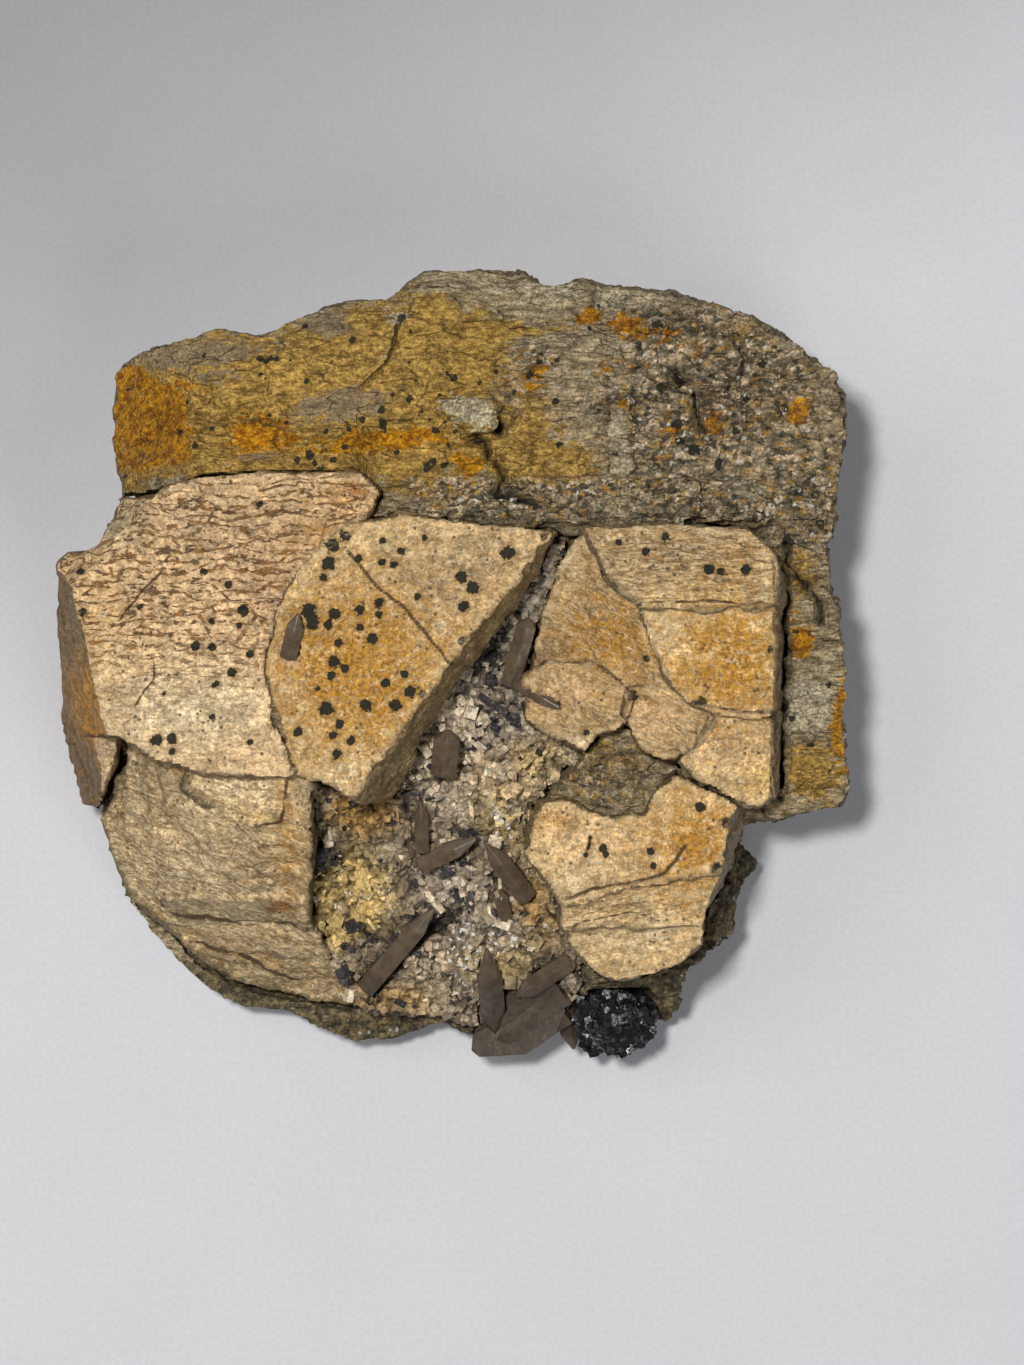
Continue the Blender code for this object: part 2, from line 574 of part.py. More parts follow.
front_rooms = [
    room("front_back_step", FRONT_BACK_STEP, FRONT_ROOT),
    room("front_middle_step", FRONT_MIDDLE_STEP, FRONT_ROOT),
    room("front_lower_step", FRONT_LOWER_STEP, FRONT_ROOT),
]


# The lower left crystal: a bulging broken face that falls away to the front left corner.
def lower_left_top(x, y):
    away = (Vector((x, y)) - LOWER_LEFT_CENTRE).length
    fall = LOWER_LEFT_FALL * away**2
    drop = RIB_DROP if y < RIB_Y else 0.0
    return max(9.5, LOWER_LEFT_TOP - fall - drop + rough(x, y, 3.0, 9.0, 1.6))


lower_left = upright(LOWER_LEFT_OUTLINE, level(LOWER_LEFT_ROOT), lower_left_top, grid=4.2)
lower_left_block = add(lower_left, "lower_left_feldspar", specimen)
lower_left_block.data.materials.append(CREAM)
bright_ledge = upright(BRIGHT_LEDGE, level(LEFT_ROOT + 6.0), level(ABOVE_ALL))
cleave(bright_ledge, (-40.0, -17.0, LOWER_LEFT_TOP - 1.6), (-25.0, -15.0, LOWER_LEFT_TOP), (-27.0, -24.0, 38.6))
boolean(lower_left_block, helper(bright_ledge, "bright_ledge"), "UNION")
clear_of(lower_left_block, [ridge_room] + left_rooms)
lower_left_room = room("lower_left_feldspar", LOWER_LEFT_OUTLINE, LOWER_LEFT_ROOT)


# The dark fluorite cluster: small cubes grown together over a rounded core.
def cluster_core(grown):
    bm = bmesh.new()
    bmesh.ops.create_icosphere(bm, subdivisions=2, radius=1.0)
    bmesh.ops.scale(bm, verts=bm.verts, vec=CLUSTER_RADII + Vector((grown, grown, grown)))
    bmesh.ops.translate(bm, verts=bm.verts, vec=CLUSTER_CENTRE)
    return bm


cluster = add(cluster_core(0.0), "fluorite_cluster", specimen)
cluster.data.materials.append(BLACK)
for number in range(CLUSTER_CUBES):
    height = 1.0 - 1.75 * (number + 0.5) / CLUSTER_CUBES
    around = number * GOLDEN_ANGLE
    flat = math.sqrt(max(0.0, 1.0 - height * height))
    spot = Vector((flat * math.cos(around), flat * math.sin(around), height))
    side = CUBE_SIDE * (0.8 + 0.45 * math.sin(2.3 * number) ** 2)
    bm = bmesh.new()
    bmesh.ops.create_cube(bm, size=side)
    turn = Matrix.Rotation(0.9 * number, 4, spot) @ Matrix.Rotation(0.4 * number, 4, "X")
    place = Matrix.Translation(CLUSTER_CENTRE + Vector(a * b for a, b in zip(spot, CLUSTER_RADII)))
    bmesh.ops.transform(bm, matrix=place @ turn, verts=bm.verts)
    boolean(cluster, helper(bm, f"cluster_cube_{number}"), "UNION")
settle(cluster)
clear_of(cluster, front_rooms + quartz_rooms)
cluster_room = helper(cluster_core(1.2 * CUBE_SIDE + GAP), "fluorite_cluster_room")


# The crust that lines the trough, a thin layer of grown-together grains with larger dark cubes in it.
def trough_top(x, y):
    down = max(0.0, (APEX_Y - y) / (APEX_Y - FRONT_Y))
    return TROUGH_APEX_TOP + (TROUGH_FRONT_TOP - TROUGH_APEX_TOP) * down**0.9


def crust_top(x, y):
    return trough_top(x, y) + rough(x, y, 11.0, 5.0, 2.0 * CRUST_ROUGHNESS)


def crust_bottom(x, y):
    return trough_top(x, y) - CRUST_THICKNESS


crust = add(upright(CRUST_OUTLINE, crust_bottom, crust_top, grid=CRUST_GRID), "fluorite_crust", specimen)
crust.data.materials.append(CRUST)
for number, (x, y, side) in enumerate(CRUST_CUBES):
    bm = bmesh.new()
    bmesh.ops.create_cube(bm, size=side)
    turn = Matrix.Rotation(1.3 * number, 4, "Z") @ Matrix.Rotation(0.5 + 0.7 * number, 4, "X")
    place = Matrix.Translation((x, y, trough_top(x, y) + 0.35 * side))
    bmesh.ops.transform(bm, matrix=place @ turn, verts=bm.verts)
    boolean(crust, helper(bm, f"crust_cube_{number}"), "UNION")
settle(crust)
solid_rooms = [ridge_room, lower_left_room, cluster_room]
solid_rooms += left_rooms + right_rooms + inner_rooms + front_rooms
clear_of(crust, solid_rooms + quartz_rooms)
crust_room = helper(
    upright(offset(CRUST_OUTLINE, GAP), lambda x, y: crust_bottom(x, y) - GAP, level(ABOVE_ALL)),
    "fluorite_crust_room",
)


# The host rock: one mass that holds every crystal and shows behind, to the right and along the front.
def host_top(x, y):
    """The rock's own surface where no crystal covers it, from its broad facets."""
    bumps = rough(x, y, 7.0, 11.0, 2.2 * HOST_ROUGHNESS)
    if y > 19.0:
        back = BACK_TOP - 0.55 * max(0.0, y - 45.0)
        end_face = BACK_TOP - 1.15 * max(0.0, -40.0 - x)
        right_fall = SLAB_TOP + 0.25 * (y - 12.0) if x > 50.0 else BACK_TOP
        crystal_edge = 28.5 if x < -12.0 else 21.0
        rise = CONTACT_RISE * min(1.0, max(0.0, 1.0 - (y - crystal_edge) / 8.0))
        return min(back, end_face, right_fall) + (rise if x < 47.0 else 0.0) + bumps
    if x > 47.0:
        return SLAB_TOP - 0.12 * max(0.0, -y) + 0.4 * bumps
    if x > 12.0 and y > -24.0:
        return HOLLOW_TOP + 0.6 * bumps
    if x > 18.0:
        apart = max(abs(x - 28.0) - 11.0, -47.0 - y, 0.0)
        return max(9.0, 26.0 - 2.1 * apart) + 0.8 * bumps
    if y < -16.0 and x < 4.0:
        return 10.5 + 0.4 * bumps
    return trough_top(x, y) - 1.0


host = add(
    upright(HOST_OUTLINE, level(0.0), host_top, grid=HOST_GRID, rings=WALL_RINGS), "host_matrix", specimen
)
host.data.materials.append(ROCK)
for number, (ledge_outline, ledge_facet) in enumerate(HOST_LEDGES):
    ledge = upright(ledge_outline, level(LEDGE_ROOT + 0.4 * number), level(ABOVE_ALL))
    cleave(ledge, *ledge_facet)
    boolean(host, helper(ledge, f"host_ledge_{number}"), "UNION")
clear_of(host, [crust_room] + solid_rooms + quartz_rooms)
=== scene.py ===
"""Looks of the fluorite on matrix: weathered rock, feldspar crystals, smoky quartz and dark fluorite."""

import math

import bmesh
import bpy
import numpy as np
from mathutils import Matrix, Vector


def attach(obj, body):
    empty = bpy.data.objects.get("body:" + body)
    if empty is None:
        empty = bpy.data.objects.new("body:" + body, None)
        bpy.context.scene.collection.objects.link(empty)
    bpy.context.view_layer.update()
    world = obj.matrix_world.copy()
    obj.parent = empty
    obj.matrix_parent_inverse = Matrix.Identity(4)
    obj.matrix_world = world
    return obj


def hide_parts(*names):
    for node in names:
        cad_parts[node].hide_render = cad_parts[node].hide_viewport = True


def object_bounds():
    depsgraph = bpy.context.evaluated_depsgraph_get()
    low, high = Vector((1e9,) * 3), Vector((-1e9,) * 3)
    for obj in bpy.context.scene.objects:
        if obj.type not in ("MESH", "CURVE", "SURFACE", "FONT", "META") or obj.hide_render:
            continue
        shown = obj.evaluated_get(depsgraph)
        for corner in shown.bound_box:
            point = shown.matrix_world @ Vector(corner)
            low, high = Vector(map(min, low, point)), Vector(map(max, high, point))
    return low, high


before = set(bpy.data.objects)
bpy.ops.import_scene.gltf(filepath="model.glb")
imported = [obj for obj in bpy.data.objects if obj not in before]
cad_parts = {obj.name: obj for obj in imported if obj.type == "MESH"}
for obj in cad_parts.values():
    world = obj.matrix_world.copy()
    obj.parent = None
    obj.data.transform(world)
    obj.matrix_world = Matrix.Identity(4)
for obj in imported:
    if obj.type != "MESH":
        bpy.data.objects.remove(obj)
cad_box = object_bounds()
MM = 0.001


# Host rock: the weathered matrix that everything grows in, one mass from the back slab to the front skirt.
# It is granular feldspar and mica, grey where fresh and rusty where weathered, and shows at the back.
HOST_VOXEL = 0.62
SHARP_ANGLE = math.radians(36)
SLAB_SIZE = 4.6
LAYER_SIZE = 3.4
GRAIN_SIZE = 2.3
SMALL_GRAIN_SIZE = 1.2
FISSURE_DEPTH = 2.6
GOLDEN = ((0.29, 0.155, 0.025), (0.8, 0.5, 0.12))
ORANGE = ((0.34, 0.11, 0.002), (0.85, 0.4, 0.012))
ROCK_GREY = ((0.27, 0.195, 0.115), (0.5, 0.38, 0.23))
PALE_GRIT = ((0.46, 0.38, 0.23), (0.85, 0.74, 0.5))
MURKY = ((0.045, 0.043, 0.03), (0.3, 0.23, 0.11))
GRAVEL_COLOURS = (
    (0.0, (0.03, 0.034, 0.026)), (0.17, (0.15, 0.13, 0.09)), (0.32, (0.32, 0.25, 0.155)),
    (0.54, (0.52, 0.39, 0.225)), (0.7, (0.68, 0.5, 0.32)), (0.82, (0.86, 0.66, 0.47)),
    (0.89, (0.52, 0.28, 0.05)),
)


def lattice(spots, size, seed):
    """Smooth noise from -1 to 1 at each spot, for features of a size in millimetres."""
    scaled = spots / size + seed * 7.31
    cell = np.floor(scaled)
    part = scaled - cell
    part = part * part * (3.0 - 2.0 * part)
    total = np.zeros(len(spots))
    for corner in np.ndindex(2, 2, 2):
        chance = np.sin((cell + corner) @ np.array((12.9898, 78.233, 37.719)) + seed) * 43758.5453
        weight = np.prod(np.where(np.array(corner, bool), part, 1.0 - part), axis=1)
        total += weight * (2.0 * (chance - np.floor(chance)) - 1.0)
    return total


def fractal(spots, size, seed, octaves=4):
    """Smooth noise with finer and finer noise laid over it."""
    total = np.zeros(len(spots))
    for octave in range(octaves):
        total += lattice(spots, size / 2.0**octave, seed + octave) / 2.0**octave
    return total / 1.6


def chips(spots, size, seed):
    """Grains packed together: how near each spot is to a grain's rim, and a random value for its grain."""
    scaled = spots / size
    cell = np.floor(scaled)
    nearest = np.full(len(spots), 9.0)
    second = np.full(len(spots), 9.0)
    value = np.zeros(len(spots))
    for step in np.ndindex(3, 3, 3):
        home = cell + step - 1.0
        chance = np.sin(home @ np.array((127.1, 311.7, 74.7)) + seed) * 43758.5453
        chance -= np.floor(chance)
        place = home + np.stack([chance, (chance * 57.31) % 1.0, (chance * 13.17) % 1.0], axis=1)
        apart = np.linalg.norm(scaled - place, axis=1)
        closer = apart < nearest
        second = np.where(closer, nearest, np.minimum(second, apart))
        value = np.where(closer, (chance * 31.7) % 1.0, value)
        nearest = np.where(closer, apart, nearest)
    return second - nearest, value


def smooth(low, high, value):
    """A soft step from 0 at the low value to 1 at the high one."""
    share = np.clip((value - low) / (high - low), 0.0, 1.0)
    return share * share * (3.0 - 2.0 * share)


def beside(spots, line):
    """How far each spot is from an open line seen from above, in millimetres."""
    x, y = spots[:, 0], spots[:, 1]
    nearest = np.full(len(spots), 1e9)
    for (ax, ay), (bx, by) in zip(line, line[1:]):
        along = ((x - ax) * (bx - ax) + (y - ay) * (by - ay)) / ((bx - ax) ** 2 + (by - ay) ** 2)
        along = np.clip(along, 0.0, 1.0)
        nearest = np.minimum(nearest, np.hypot(x - ax - along * (bx - ax), y - ay - along * (by - ay)))
    return nearest


def inside(spots, outline):
    """How far each spot is inside an outline seen from above, negative outside, in millimetres."""
    x, y = spots[:, 0], spots[:, 1]
    closed = outline + outline[:1]
    odd = np.zeros(len(spots), bool)
    for (ax, ay), (bx, by) in zip(closed, closed[1:]):
        if ay != by:
            odd ^= ((ay > y) != (by > y)) & (x < (bx - ax) * (y - ay) / (by - ay) + ax)
    return np.where(odd, 1.0, -1.0) * beside(spots, closed)


def patch(spots, x, y, wide, deep, turn=0.0):
    """A soft oval patch, 1 at its middle."""
    c, s = math.cos(math.radians(turn)), math.sin(math.radians(turn))
    dx, dy = spots[:, 0] - x, spots[:, 1] - y
    return np.exp(-(((dx * c + dy * s) / wide) ** 2) - ((dy * c - dx * s) / deep) ** 2)


def warped(spots, size, reach, seed):
    """The spots moved about sideways, so that what is laid on them gets a natural edge."""
    moved = spots.copy()
    for axis in (0, 1):
        moved[:, axis] += reach * fractal(spots, size, seed + 3 * axis, 3)
    return moved


def object_from(bm, name):
    """Turn a mesh under construction into an object of the scene."""
    mesh = bpy.data.meshes.new(name)
    bm.to_mesh(mesh)
    bm.free()
    thing = bpy.data.objects.new(name, mesh)
    bpy.context.scene.collection.objects.link(thing)
    return thing


def merged(node):
    """A copy of a solid of the model, with the points that its faces share merged."""
    bm = bmesh.new()
    bm.from_mesh(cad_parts[node].data)
    bmesh.ops.remove_doubles(bm, verts=bm.verts, dist=0.001 * MM)
    return bm


def fine_copy(node, name, voxel):
    """A finely meshed copy of a solid of the model."""
    piece = object_from(merged(node), name)
    remesh = piece.modifiers.new("fine", "REMESH")
    remesh.mode = "VOXEL"
    remesh.voxel_size = voxel * MM
    bpy.context.view_layer.update()
    fine = bpy.data.meshes.new_from_object(piece.evaluated_get(bpy.context.evaluated_depsgraph_get()))
    piece.modifiers.clear()
    piece.data = fine
    fine.shade_smooth()
    return piece


def edge_ends(piece):
    """The two points of each edge, by number."""
    pairs = np.zeros(len(piece.data.edges) * 2, np.int32)
    piece.data.edges.foreach_get("vertices", pairs)
    return pairs.reshape(-1, 2)


def keep_largest(piece):
    """Remove the crumbs that a thin rim leaves behind in a fine copy."""
    pairs = edge_ends(piece)
    label = np.arange(len(piece.data.vertices))
    before = None
    while before is None or (label != before).any():
        before = label.copy()
        low = np.minimum(label[pairs[:, 0]], label[pairs[:, 1]])
        np.minimum.at(label, pairs[:, 0], low)
        np.minimum.at(label, pairs[:, 1], low)
        label = label[label]
    crumbs = label != np.bincount(label).argmax()
    bm = bmesh.new()
    bm.from_mesh(piece.data)
    bmesh.ops.delete(bm, geom=[vert for vert, crumb in zip(bm.verts, crumbs) if crumb], context="VERTS")
    bm.to_mesh(piece.data)
    bm.free()


def vectors_of(piece, name):
    """One vector for each point of a piece: its place in metres, or where its surface faces."""
    values = np.zeros(len(piece.data.vertices) * 3, np.float32)
    piece.data.vertices.foreach_get(name, values)
    return values.reshape(-1, 3).astype(float)


def points_of(piece):
    """The piece's points in millimetres."""
    return vectors_of(piece, "co") / MM


def normals_of(piece):
    """The direction that the surface faces at each point."""
    return vectors_of(piece, "normal")


def reshape(piece, spots):
    """Move the piece's points to new spots, held inside the box of the solids."""
    spots = np.clip(spots, *(np.array(corner) / MM for corner in cad_box))
    piece.data.vertices.foreach_set("co", (spots * MM).astype(np.float32).ravel())
    piece.data.update()
    piece.data.set_sharp_from_angle(angle=SHARP_ANGLE)


def mark(piece, name, values):
    """Store a number for each point under a name that the material reads."""
    field = piece.data.attributes.new(name, "FLOAT", "POINT")
    field.data.foreach_set("value", values.astype(np.float32))


def tint(piece, colours):
    """Store a colour for each point."""
    field = piece.data.attributes.new("tint", "FLOAT_COLOR", "POINT")
    rgba = np.concatenate([np.clip(colours, 0.0, 1.0), np.ones((len(colours), 1))], axis=1)
    field.data.foreach_set("color", rgba.astype(np.float32).ravel())


def blend(colours, other, share):
    """Colours moved towards another colour by a share for each point."""
    return colours + (np.array(other) - colours) * np.clip(share, 0.0, 1.0)[:, None]


def speck_field(spots, specks):
    """The distance to the nearest speck as a share of its radius, up to 4."""
    nearest = np.full(len(spots), 4.0)
    for x, y, radius in specks:
        close = np.abs(spots[:, 0] - x) < 4.0 * radius
        apart = np.hypot(spots[close, 0] - x, spots[close, 1] - y) / radius
        nearest[close] = np.minimum(nearest[close], apart)
    return nearest


class Surface:
    """A material built up node by node, over object coordinates in millimetres."""

    def __init__(self, name, roughness=0.6, specular=0.4):
        self.material = bpy.data.materials.new(name)
        self.material.use_nodes = True
        self.tree = self.material.node_tree
        self.shader = self.tree.nodes["Principled BSDF"]
        self.shader.inputs["Roughness"].default_value = roughness
        self.shader.inputs["Specular IOR Level"].default_value = specular
        coordinates = self.node("ShaderNodeTexCoord")
        scale = self.node("ShaderNodeVectorMath", operation="SCALE")
        scale.inputs["Scale"].default_value = 1.0 / MM
        self.link(coordinates.outputs["Object"], scale.inputs[0])
        self.place = scale.outputs["Vector"]

    def node(self, kind, **settings):
        """Add a node to the material."""
        made = self.tree.nodes.new(kind)
        for key, value in settings.items():
            setattr(made, key, value)
        return made

    def link(self, source, target):
        self.tree.links.new(source, target)

    def feed(self, target, value):
        """Link another node's output to an input, or set the input to a number or colour."""
        if isinstance(value, bpy.types.NodeSocket):
            self.link(value, target)
        elif isinstance(value, tuple):
            target.default_value = (*value, 1.0) if len(target.default_value) == 4 else value
        else:
            target.default_value = value

    def stretched(self, x, y, z):
        """The place, squeezed along each axis so that marks come out long."""
        made = self.node("ShaderNodeVectorMath", operation="MULTIPLY")
        self.link(self.place, made.inputs[0])
        made.inputs[1].default_value = (x, y, z)
        return made.outputs["Vector"]

    def noise(self, size, detail=3.0, roughness=0.55, place=None, warp=0.0):
        """Cloudy noise with features of a size in millimetres."""
        made = self.node("ShaderNodeTexNoise")
        self.link(place or self.place, made.inputs["Vector"])
        made.inputs["Scale"].default_value = 1.0 / size
        made.inputs["Detail"].default_value = detail
        made.inputs["Roughness"].default_value = roughness
        made.inputs["Distortion"].default_value = warp
        return made.outputs["Fac"]

    def grains(self, size, output="Distance", feature="F1", place=None):
        """Packed grains of a size in millimetres."""
        made = self.node("ShaderNodeTexVoronoi", feature=feature)
        self.link(place or self.place, made.inputs["Vector"])
        made.inputs["Scale"].default_value = 1.0 / size
        return made.outputs[output]

    def random_grain(self, size, channel="Red", place=None):
        """A random number for each grain of a size in millimetres."""
        split = self.node("ShaderNodeSeparateColor")
        self.link(self.grains(size, output="Color", place=place), split.inputs["Color"])
        return split.outputs[channel]

    def shaken(self, reach, detail=2.0, place=None):
        """The place, moved about so that what is laid on it gets a ragged outline."""
        shift = self.node("ShaderNodeTexNoise")
        self.link(self.place, shift.inputs["Vector"])
        shift.inputs["Scale"].default_value = reach
        shift.inputs["Detail"].default_value = detail
        push = self.node("ShaderNodeVectorMath", operation="SCALE")
        push.inputs["Scale"].default_value = reach
        self.link(shift.outputs["Color"], push.inputs[0])
        made = self.node("ShaderNodeVectorMath", operation="ADD")
        self.link(place or self.place, made.inputs[0])
        self.link(push.outputs["Vector"], made.inputs[1])
        return made.outputs["Vector"]

    def axis(self, name, vector=None):
        """One coordinate of a vector, or of the place."""
        split = self.node("ShaderNodeSeparateXYZ")
        self.link(vector or self.place, split.inputs["Vector"])
        return split.outputs[name]

    def value(self, name):
        return self.node("ShaderNodeAttribute", attribute_name=name).outputs["Fac"]

    def colour(self, name):
        return self.node("ShaderNodeAttribute", attribute_name=name).outputs["Color"]

    def sum(self, operation, first, second=0.0):
        made = self.node("ShaderNodeMath", operation=operation)
        self.feed(made.inputs[0], first)
        self.feed(made.inputs[1], second)
        return made.outputs["Value"]

    def times(self, first, *others):
        """A product of numbers."""
        for other in others:
            first = self.sum("MULTIPLY", first, other)
        return first

    def between(self, value, low, high, start=0.0, end=1.0):
        """Map a number from one range to another, softly, and hold it at the ends."""
        made = self.node("ShaderNodeMapRange", interpolation_type="SMOOTHSTEP")
        self.feed(made.inputs["Value"], value)
        for key, number in (("From Min", low), ("From Max", high), ("To Min", start), ("To Max", end)):
            self.feed(made.inputs[key], number)
        return made.outputs["Result"]

    def mix(self, share, first, second):
        """Go from the first colour to the second."""
        made = self.node("ShaderNodeMix", data_type="RGBA")
        self.feed(made.inputs["Factor"], share)
        self.feed(made.inputs[6], first)
        self.feed(made.inputs[7], second)
        return made.outputs[2]

    def brighten(self, colour, amount):
        """Multiply a colour by a number."""
        made = self.node("ShaderNodeVectorMath", operation="SCALE")
        self.link(colour, made.inputs[0])
        self.feed(made.inputs["Scale"], amount)
        return made.outputs["Vector"]

    def bump(self, height, depth, strength=1.0):
        made = self.node("ShaderNodeBump")
        made.inputs["Strength"].default_value = strength
        made.inputs["Distance"].default_value = depth * MM
        self.link(height, made.inputs["Height"])
        self.link(made.outputs["Normal"], self.shader.inputs["Normal"])

    def finish(self, colour, roughness=None):
        """Set the surface's colour and roughness, and hand the material over."""
        self.feed(self.shader.inputs["Base Color"], colour)
        if roughness is not None:
            self.feed(self.shader.inputs["Roughness"], roughness)
        return self.material


def show(piece, node, material):
    """Put a dressed piece in the place of its solid."""
    piece.data.materials.append(material)
    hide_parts(node)
    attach(piece, "root")


END_FACE = ((-53, 47), (-49.5, 46.5), (-40.3, 41), (-39.8, 35), (-39.2, 30), (-53, 29.5))
RUST_PATCHES = (
    (-47, 36, 8, 6, 0, 1.1), (-11, 33.6, 13, 2.2, 4, 0.9), (-29, 35, 5, 3.4, 0, 0.9),
    (3.5, 29.6, 2, 1.8, 0, 1.0), (26, 51.5, 3, 3, 0, 0.9), (20.2, 53, 1.8, 1.4, 0, 1.0),
    (32, 50, 3, 2, 0, 0.9), (37, 47, 2.4, 2, 0, 0.6), (39.5, 36, 2, 3.4, 0, 0.75),
    (26, 39, 2, 1.8, 0, 0.7), (52, 38, 2.6, 3.4, 0, 0.7), (12.5, 43.4, 3, 2.6, 0, 0.7),
    (58.6, -8, 1.5, 9, 0, 0.9), (57.2, 24, 1.4, 8, 0, 0.6), (52.6, 4.4, 2.6, 3.4, 0, 0.9),
    (33, 35.5, 2, 1.5, 0, 0.7), (-14, 26.4, 3, 1.2, 0, 0.6), (0, 30.6, 2, 2, 0, 0.6),
    (-39, 42, 3, 1, 0, 0.5), (23, 45, 2.4, 2, 0, 0.5),
)
OCHRE_PATCHES = (
    (-24, 41, 15, 8, 0, 1.2), (-5, 44, 10, 8, 0, 1.2), (2, 46, 6, 4, 0, 0.9), (-42, 44, 9, 4, 20, 0.9),
    (-14, 33, 26, 6, 0, 0.8), (-32, 36, 6, 5, 0, 0.9), (-8, 51, 10, 4, 0, 0.7), (10, 36, 4, 6, 0, 0.7),
    (23, -16, 8, 6, 0, 0.45), (42, 50, 6, 2.5, 0, 0.5), (10, 51, 10, 1.2, 4, 0.5),
    (-44, 29.6, 7, 1.4, 0, 0.8), (52, 14, 4, 5, 0, 0.5), (15, 30, 6, 3, 0, 0.7), (54, -16, 5, 5, 0, 0.75),
    (26, 36, 3, 3, 0, 0.4), (-2, 27, 6, 1.6, 0, 0.7), (-49, 27, 3, 2, 0, 0.7), (48, 40, 6, 8, 0, 0.35),
)
PALE_PATCHES = (
    (2.6, 38.2, 4.4, 2.2, -15, 1.3), (25.5, 24.5, 6, 2.2, 10, 0.8), (25, 34, 1.5, 5.4, 0, 1.3),
    (45, 26, 4, 2.4, 0, 0.8), (-8, 53, 3, 2.6, 0, 0.6), (28, 43.2, 1.6, 1.4, 0, 0.8),
    (36, 27.4, 2, 1.6, 0, 0.8), (53.5, -6, 5, 5, 0, 1.0), (23, -17, 6, 4, 0, 0.5),
    (20, 56, 20, 3, -5, 0.7), (-9, 46.8, 2, 1.4, 0, 0.5), (30, 58, 9, 1.4, -12, 0.5),
    (38, 30, 3, 1, 0, 0.6), (-44, 27.5, 4, 1.2, 0, 0.5), (34, 22.5, 3.4, 2.4, 0, 0.7),
)
GREY_PATCHES = (
    (-38, 47, 12, 2.4, 6, 1.0), (-17, 38.8, 9, 3, 12, 1.0), (-19, 51.5, 5, 3, 0, 1.0),
    (10, 55, 14, 3, 0, 0.4), (-34, 43.6, 8, 1.2, 0, 0.6), (14, 39, 3, 5, 0, 0.4),
    (10, 47.6, 6, 1.2, 0, 0.6), (-30, 31, 6, 1, 0, 0.8),
)
GRANULAR_ZONES = (
    (38, 40, 19, 12, 0, 1.3), (30, 24, 26, 4, 0, 1.2), (54, 24, 6, 7, 0, 1.0), (12, 47, 4, 3, 0, 0.7),
    (5, 24, 12, 3, 0, 0.9), (26, 55, 14, 4, -8, 0.8), (54, -4, 8, 12, 0, 0.35), (8, 40, 4, 5, 0, 0.6),
    (23, -17, 9, 5, 0, 1.0), (36, -45, 8, 10, 0, 0.8), (-20, -57, 30, 4, 0, 0.8),
    (44, -30, 4, 10, 0, 0.7), (-2, 27.5, 8, 1.4, 0, 0.5),
)
HOST_SPECKS = (
    (-29.1, 46.2, 0.6), (-28.3, 45.6, 0.5), (-27.4, 46.2, 0.5), (-26.4, 46, 0.45), (-24.4, 45.8, 0.3),
    (-29, 43.6, 0.4), (-28.1, 43, 0.3), (-21.9, 42.6, 0.5), (-19.3, 45.4, 0.3), (-18.2, 45.5, 0.28),
    (-15, 48.8, 0.6), (-7.8, 52.3, 0.75), (-6.4, 50.4, 0.4), (-6.6, 45.3, 0.45), (-10.4, 45.5, 0.28),
    (0.1, 43.2, 0.7), (-0.9, 44, 0.4), (6.3, 44.1, 0.45), (4, 42.4, 0.45), (-10.8, 38.3, 0.65),
    (-6.6, 40, 0.65), (-9, 40.5, 0.4), (-8, 43, 0.35), (-5.6, 42.8, 0.35), (-4.4, 42.2, 0.35),
    (-2, 40.5, 0.4), (-4.8, 38, 0.4), (-3.6, 37, 0.35), (-1.3, 36.4, 0.4), (-13.6, 36.9, 0.55),
    (-13, 35.9, 0.5), (-10.6, 36.5, 0.6), (-10.4, 35.4, 0.55), (-15.6, 35.4, 0.45), (-18.9, 35, 0.45),
    (-16.2, 32.7, 0.5), (-19.1, 32.2, 0.35), (-21.5, 31.6, 0.75), (-23.3, 30.9, 0.55), (-20.7, 30.4, 0.5),
    (-18, 30.7, 0.6), (-19.9, 29.2, 0.6), (-8.4, 32, 0.5), (-7.8, 34.2, 0.35), (-2.6, 35.2, 0.65),
    (-0.7, 33, 0.45), (0.3, 35.1, 0.4), (-3, 30.6, 0.65), (-1.3, 30, 0.55), (-4, 29.6, 0.6),
    (0.5, 30.6, 0.35), (-25, 36.4, 0.35), (-27.5, 37.4, 0.5), (-36.2, 35.6, 0.45), (-38.6, 33, 0.5),
    (-41, 35, 0.45), (-40, 39.6, 0.4), (-36.6, 40.4, 0.3), (-24.1, 28.1, 0.6), (-21.9, 27, 0.5),
    (-37.4, 46.6, 0.5), (-22.3, 51.2, 0.5), (-50.3, 28.8, 0.5), (-46, 42, 0.28), (-50, 41.8, 0.3),
    (13, 46, 0.6), (11.4, 43.6, 0.7), (15.6, 46.2, 0.5), (30.6, 52, 0.7), (33, 51.2, 0.8),
    (22, 54.6, 0.4), (20.8, 51.4, 0.5), (28, 48, 0.5), (33.6, 36.2, 0.9), (31.4, 41.4, 0.8),
    (37.6, 41.2, 0.6), (44, 40, 0.6), (46.6, 45.4, 0.6), (36, 32.4, 1.0), (34, 33.6, 0.7),
    (42.6, 35.2, 0.6), (40, 30.4, 0.7), (16, 33, 0.6), (15.4, 39.6, 0.6), (9, 41, 0.5), (24.4, 31.6, 0.5),
    (50, 38.4, 0.5), (52, 26, 0.8), (55.4, 21, 0.7), (50.4, 18.6, 0.9), (54, -12, 0.6), (57, -16, 0.5),
    (51, -8, 0.5), (56.6, -3, 0.5), (51.6, 5, 0.5),
)
